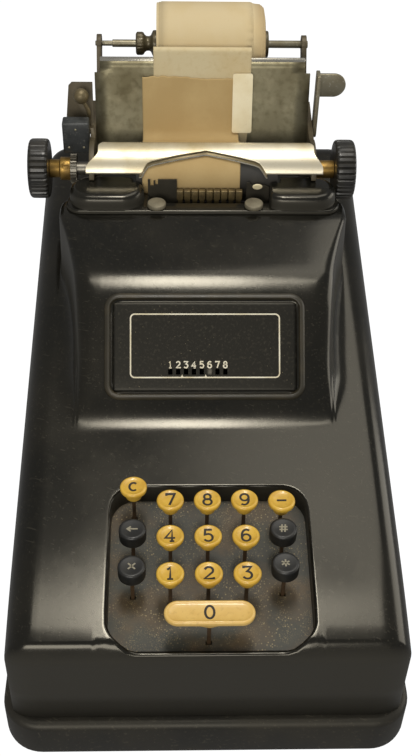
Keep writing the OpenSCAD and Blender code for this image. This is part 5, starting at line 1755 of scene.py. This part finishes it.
@dataclass(frozen=True)
class PaperSupply:
    """Paper roll on its spindle, the strip round the platen and the guide that holds its tail."""

    strip_r: float = 16.45
    strip_half: float = 29.35
    strip_wall: float = 0.22
    crest_r: float = 2.2
    crest_rise: float = 6.0
    lead_r: float = 25.5
    table_l: float = 61.0
    leave: float = 62.0
    bend_r: float = 5.0
    tail: float = 53.0
    tail_lift: float = 0.9
    drift: float = 6.8
    drift_run: tuple[float, float] = (50.0, 75.0)
    age_run: tuple[float, float] = (85.0, 40.0)
    print_rows: tuple[float, ...] = (130.5, 134.4, 138.3)
    print_x: float = 17.5
    print_pitch: float = 4.4
    print_h: float = 2.2
    roll_r: float = 25.0
    core_r: float = 6.0
    layers: int = 60
    lean: tuple[tuple[float, float], ...] = (
        (6, 8.0), (12, 8.0), (18, 7.8), (21.8, 7.0), (23.2, 5.6), (23.8, 4.4), (24.05, 0.4), (24.3, 0.0),
    )
    wrap_wall: float = 0.3
    hub_x: tuple[float, float] = (-40.85, 38.85)
    hub_bore: float = 2.35
    knurls: int = 24
    sleeve_x: float = -55.6
    sleeve_r: float = 2.3
    spindle_r: float = 1.6
    guide_l: float = 36.4
    guide_shift: float = -1.6
    guide_depths: tuple[float, float] = (1.5, 2.3)
    seed: int = 11

    def path(self) -> tuple[Array, Array]:
        """The strip's path: from the roll over the table's crest, down round the platen, then up the table.

        Straight stretches touch the arcs about the roll, the crest, the platen and the last bend.

        Returns:
            Points in the (y, z) plane from the platen's axis, and the running length at each.
        """
        toward = lambda a: np.array([np.cos(a), np.sin(a)])
        angle, along, out = PLACE.table_angle, PLACE.table_along, PLACE.table_out
        centre = np.array([PLACE.roll_y - PLACE.platen_y, PLACE.roll_z - PLACE.platen_z])
        touch = self.strip_r * out
        crest = touch + along * (self.table_l + self.crest_rise) + out * self.crest_r
        reach = centre - crest
        lean = np.arccos((self.crest_r + self.lead_r) / np.linalg.norm(reach))
        strand = np.arctan2(reach[1], reach[0]) + lean
        leave = np.radians(self.leave)
        ahead, off = toward(leave - np.pi / 2), self.strip_r * toward(leave)
        tail_line = touch - out * self.tail_lift
        gap = tail_line - off
        cross = lambda a, b: a[0] * b[1] - a[1] * b[0]
        bend = off + ahead * cross(gap, along) / cross(ahead, along)
        turn = angle - (leave - np.pi / 2)
        pivot = bend - ahead * self.bend_r * np.tan(turn / 2) + self.bend_r * toward(leave)
        first = self.leave - 180
        points = np.vstack([
            [centre - self.lead_r * toward(strand)],
            arc(*crest, self.crest_r, np.degrees(strand), np.degrees(angle) + 90, 15),
            arc(0, 0, self.strip_r, np.degrees(angle) - 90, self.leave - 360, 80),
            arc(*pivot, self.bend_r, first, first + np.degrees(turn), 14), tail_line + along * self.tail,
        ])
        run = np.concatenate([[0], np.cumsum(np.linalg.norm(np.diff(points, axis=0), axis=1))])
        return points, run

    def at(self, x: Array, s: Array) -> tuple[Array, Array]:
        """Point and outward normal of the strip at x across and length s along."""
        points, run = self.path()
        spot = lambda length: np.stack([np.interp(length, run, points[:, i]) for i in (0, 1)], -1)
        here, step = spot(s), spot(np.minimum(s + 0.3, run[-1])) - spot(np.maximum(s - 0.3, 0))
        step /= np.maximum(np.linalg.norm(step, axis=-1), 1e-9)[..., None]
        start, length = self.drift_run
        x = x - 0.2 - self.drift * smooth((s - start) / length)
        p = np.stack([x, PLACE.platen_y + here[..., 0], PLACE.platen_z + here[..., 1]], -1)
        return p, np.stack([0 * x, step[..., 1], -step[..., 0]], -1)

    def strip(self) -> tuple[Shape, Array]:
        """The strip as a grid along its path with a torn upper end, and how aged each point is."""
        _, run = self.path()
        rng = np.random.default_rng(self.seed)
        x = np.linspace(-self.strip_half, self.strip_half, 61)
        tear = 0.9 * np.interp(x, np.linspace(-30, 30, 31), rng.random(31)) + 0.7 * (1 + np.sin(x / 9.0))
        s = np.linspace(0, 1, 240)[:, None] * (run[-1] - tear)[None]
        p, _ = self.at(np.broadcast_to(x, s.shape), s)
        start, length = self.age_run
        return grid(p), smooth((s - start) / length)

    def print_lines(self) -> Shape:
        """Faint rows of digits where the strip passes over the platen's front."""
        rng = np.random.default_rng(self.seed + 1)
        parts = []
        for s in self.print_rows:
            for column in range(int(rng.integers(2, 4))):
                digit = str(int(rng.integers(1, 9)))
                x = self.print_x - self.print_pitch * column
                parts.append(Glyph.shape(digit, x, s, self.print_h, 0.4, self.at, 0.2))
        return join(parts)

    def turned(
        self, profile: Array, x: float, count: int, closed: bool, scale: Optional[Array] = None,
    ) -> Shape:
        """A profile turned about the roll's axis, from x on."""
        return revolve(profile, (x, PLACE.roll_y, PLACE.roll_z), 0, count, closed, scale)

    def roll(self) -> tuple[Shape, Array]:
        """The roll and how dark each point is.

        A turned profile, whose ends step from layer to layer and are pushed out to the right at the core.

        Returns:
            The mesh and the shade of its points.
        """
        rng = np.random.default_rng(self.seed + 2)
        n, outer = self.layers, self.roll_r - 0.7
        radius = np.linspace(outer, self.core_r, n)
        lean = np.interp(radius, *np.array(self.lean).T)
        jitter = rng.uniform(-0.35, 0.0, n) * (np.arange(n) > 1)
        right = np.stack([radius, 30.85 + lean + jitter], -1)
        left = np.stack([radius[::-1], -27.85 - jitter[::-1] * 1.3], -1)
        profile = np.vstack([left, [(outer, -20.0), (outer, 0.0), (outer, 20.0)], right])
        dark = np.concatenate([rng.uniform(0.1, 0.95, n), np.zeros(3), rng.uniform(0.1, 0.95, n)])
        dark[[n - 1, n + 3]] = 0.0
        count = 120
        return self.turned(profile, 0, count, True), np.repeat(dark, count)

    def wrap(self) -> Shape:
        """Outermost two layers of the roll, the upper one torn away at the right on the side to the front."""
        rng = np.random.default_rng(self.seed + 3)
        degrees = np.linspace(40, 335, 160)[:, None]
        t = np.radians(degrees)
        ragged = 0.9 * np.interp(degrees, np.linspace(35, 340, 80), rng.random(80))
        bite = 8.0 * smooth((degrees - 158) / 4.0) + 2.5 * smooth((degrees - 171) / 5.0)
        layers = []
        for depth, x0, x1 in ((0.36, -26.4, 30.7 + 0 * bite), (0.03, -25.0, 30.4 - bite - ragged)):
            r = self.roll_r - depth
            x = x0 + (x1 - x0) * np.linspace(0, 1, 12)[None]
            y, z = PLACE.roll_y + r * np.cos(t) + 0 * x, PLACE.roll_z + r * np.sin(t) + 0 * x
            layers.append(grid(np.stack([x, y, z], -1)))
        return join(layers)

    def hubs(self) -> Shape:
        """Turned hub with a knurled grip on the left and a plain flange on the right."""
        bore = self.hub_bore
        profile = np.array([
            (bore, 0), (5.9, 0), (6.8, 0.6), (7.0, 1.2), (7.0, 3.9), (6.6, 4.7), (5.2, 5.6), (4.5, 6.6),
            (4.4, 8.2), (4.9, 9.2), (6.6, 10.0), (7.8, 10.6), (8.0, 11.2), (8.0, 12.6), (7.6, 13.0),
            (bore, 13.0),
        ])
        count = 4 * self.knurls
        wave = 0.5 - 0.5 * ripple(self.knurls, count)
        grip = 1 - 0.05 * np.outer((profile[:, 0] > 6.7) & (profile[:, 1] < 4.5), wave)
        flange = np.array([(bore, 0), (8.0, 0), (8.0, 1.9), (7.6, 2.4), (bore, 2.5)])
        left, right = self.hub_x
        return self.turned(profile, left, count, True, grip) + self.turned(flange, right, 64, True)

    def spindle(self) -> Shape:
        """Spindle: a thin end on the left and a thicker sleeve over the rest."""
        (x0, _, _), (x1, _, _) = box_mm("roll_spindle")
        r, thick, step = self.spindle_r, self.sleeve_r, self.sleeve_x
        profile = np.array([
            (0, x0), (r - 0.3, x0), (r, x0 + 0.4), (r, step), (thick, step + 0.3), (thick, x1 - 0.4),
            (thick - 0.3, x1), (0, x1),
        ])
        return self.turned(profile, 0, 32, False)

    def guide(self) -> Shape:
        """Flat guide along the table, over the tail's edge: a rounded rectangle with a thickness."""
        low, high = box_mm("paper_guide")
        middle = np.array([(low[0] + high[0]) / 2 + self.guide_shift, self.guide_l])
        outline = round_rect(high[0] - low[0], self.guide_l, 1.2, 4) + middle
        loops = []
        for depth in self.guide_depths:
            p = outline[:, 1:] * PLACE.table_along + (self.strip_r - depth) * PLACE.table_out
            loops.append(np.column_stack([outline[:, 0], PLACE.platen_y + p[:, 0], PLACE.platen_z + p[:, 1]]))
        return loft(np.stack(loops))

    def build(self) -> None:
        """Makes the paper's pieces."""
        fixed, spun, paper = "machine", "paper_supply", "paper_cream"
        strip, age = self.strip()
        thin = self.strip_wall
        put("paper_strip", strip, PAPER, fixed, ("paper_web",), 60.0, thin, values={"age": age})
        put("printed_rows", self.print_lines(), FAINT_INK, fixed)
        roll, dark = self.roll()
        put("layered_roll", roll, ROLL_PAPER, spun, ("paper_roll",), 30.0, values={"age": dark})
        put("torn_wrap", self.wrap(), WRAP_PAPER, spun, (), 60.0, self.wrap_wall, (0, -1, 0.3))
        put("turned_hubs", self.hubs(), HUB_BROWN, spun, ("roll_hubs",), 40.0)
        put("spindle_rod", self.spindle(), DULL_NICKEL, spun, ("roll_spindle",), 40.0)
        soft_copy("roll_post_pair", "roll_posts", DARK_METAL, fixed, 0.5)
        put("paper_guide_strip", self.guide(), GUIDE_NICKEL, fixed, ("paper_guide",), 40.0)


@dataclass(frozen=True)
class Lamp:
    """A rectangular lamp, in metres and watts, that faces a target."""

    name: str
    place: tuple[float, float, float]
    target: tuple[float, float, float]
    size: tuple[float, float]
    watts: float
    color: RGB = WARM

    def build(self) -> None:
        """Makes the lamp."""
        data = bpy.data.lights.new(self.name, "AREA")
        data.shape = "RECTANGLE"
        data.size, data.size_y = self.size
        data.energy = self.watts
        data.color = self.color
        back = np.array(self.place) - np.array(self.target)
        link(self.name, data).matrix_world = facing(np.cross((0.0, 0.02, 1.0), back), back, self.place)


@dataclass(frozen=True)
class Studio:
    """Camera, lamps and world."""

    location: tuple[float, float, float] = (-0.0169, -0.5026, 0.5666)
    right: tuple[float, float, float] = (0.99963, -0.02099, 0.01752)
    up: tuple[float, float, float] = (0.00124, 0.67507, 0.73775)
    lens: float = 54.1
    sensor: float = 36.0
    level: float = 0.31
    glossy_level: float = -0.05
    seen_level: float = 0.75
    middle: tuple[float, float, float] = (0.0, 0.0, 0.12)

    def lamps(self) -> list[Lamp]:
        """The five lamps."""
        return [
            Lamp("ceiling_lamp", (0.0, -0.04, 1.5), (0.0, -0.04, 0.12), (0.2, 0.44), 7.0),
            Lamp("strip_lamp", (-0.02, -0.04, 1.55), (-0.02, -0.04, 0.12), (0.9, 0.16), 2.4),
            Lamp("soft_lamp", (0.5, 0.52, 1.6), self.middle, (0.8, 0.8), 4.2),
            Lamp("side_lamp", (1.5, 0.3, 0.45), self.middle, (1.0, 0.8), 6.0),
            Lamp("front_lamp", (-0.3, -1.5, 0.75), self.middle, (1.0, 0.6), 12.0),
        ]

    def camera(self) -> None:
        """Camera at the photo's place, with its focal length measured on the picture's height."""
        data = bpy.data.cameras.new("photo_camera")
        data.sensor_fit = "VERTICAL"
        data.sensor_height = self.sensor
        data.lens = self.lens
        data.clip_start, data.clip_end = 0.01, 20.0
        made = link("photo_camera", data)
        made.matrix_world = facing(self.right, np.cross(self.right, self.up), self.location)
        bpy.context.scene.camera = made

    def world(self) -> None:
        """Plain light from all round, white to the camera and a little weaker in shiny surfaces."""
        made = bpy.data.worlds.new("plain_world")
        bpy.context.scene.world = made
        made.use_nodes = True
        w = Wiring(made.node_tree)
        shown = made.node_tree.nodes["Background"]
        rays = w.node("ShaderNodeLightPath").outputs
        seen = w.math("ADD", rays["Is Camera Ray"], rays["Is Transmission Ray"], clamp=True)
        shown.inputs["Color"].default_value = (1.0, 1.0, 1.0, 1.0)
        level = w.math("MULTIPLY_ADD", rays["Is Glossy Ray"], self.glossy_level, self.level)
        w.feed(shown.inputs["Strength"], w.math("MULTIPLY_ADD", seen, self.seen_level, level))

    def build(self) -> None:
        """Sets up the picture."""
        self.camera()
        self.world()
        for lamp in self.lamps():
            lamp.build()
        bpy.context.scene.view_settings.view_transform = "Standard"


def main() -> None:
    """Builds every sub-assembly and the studio."""
    logging.basicConfig(level=logging.INFO, format="%(message)s")
    for part in (Case(), NamePanel(), Keyboard(), RibbonWorks(), Carriage(), PaperSupply()):
        LOG.info("building %s", type(part).__name__)
        part.build()
    Studio().build()


if __name__ == "__main__":
    main()
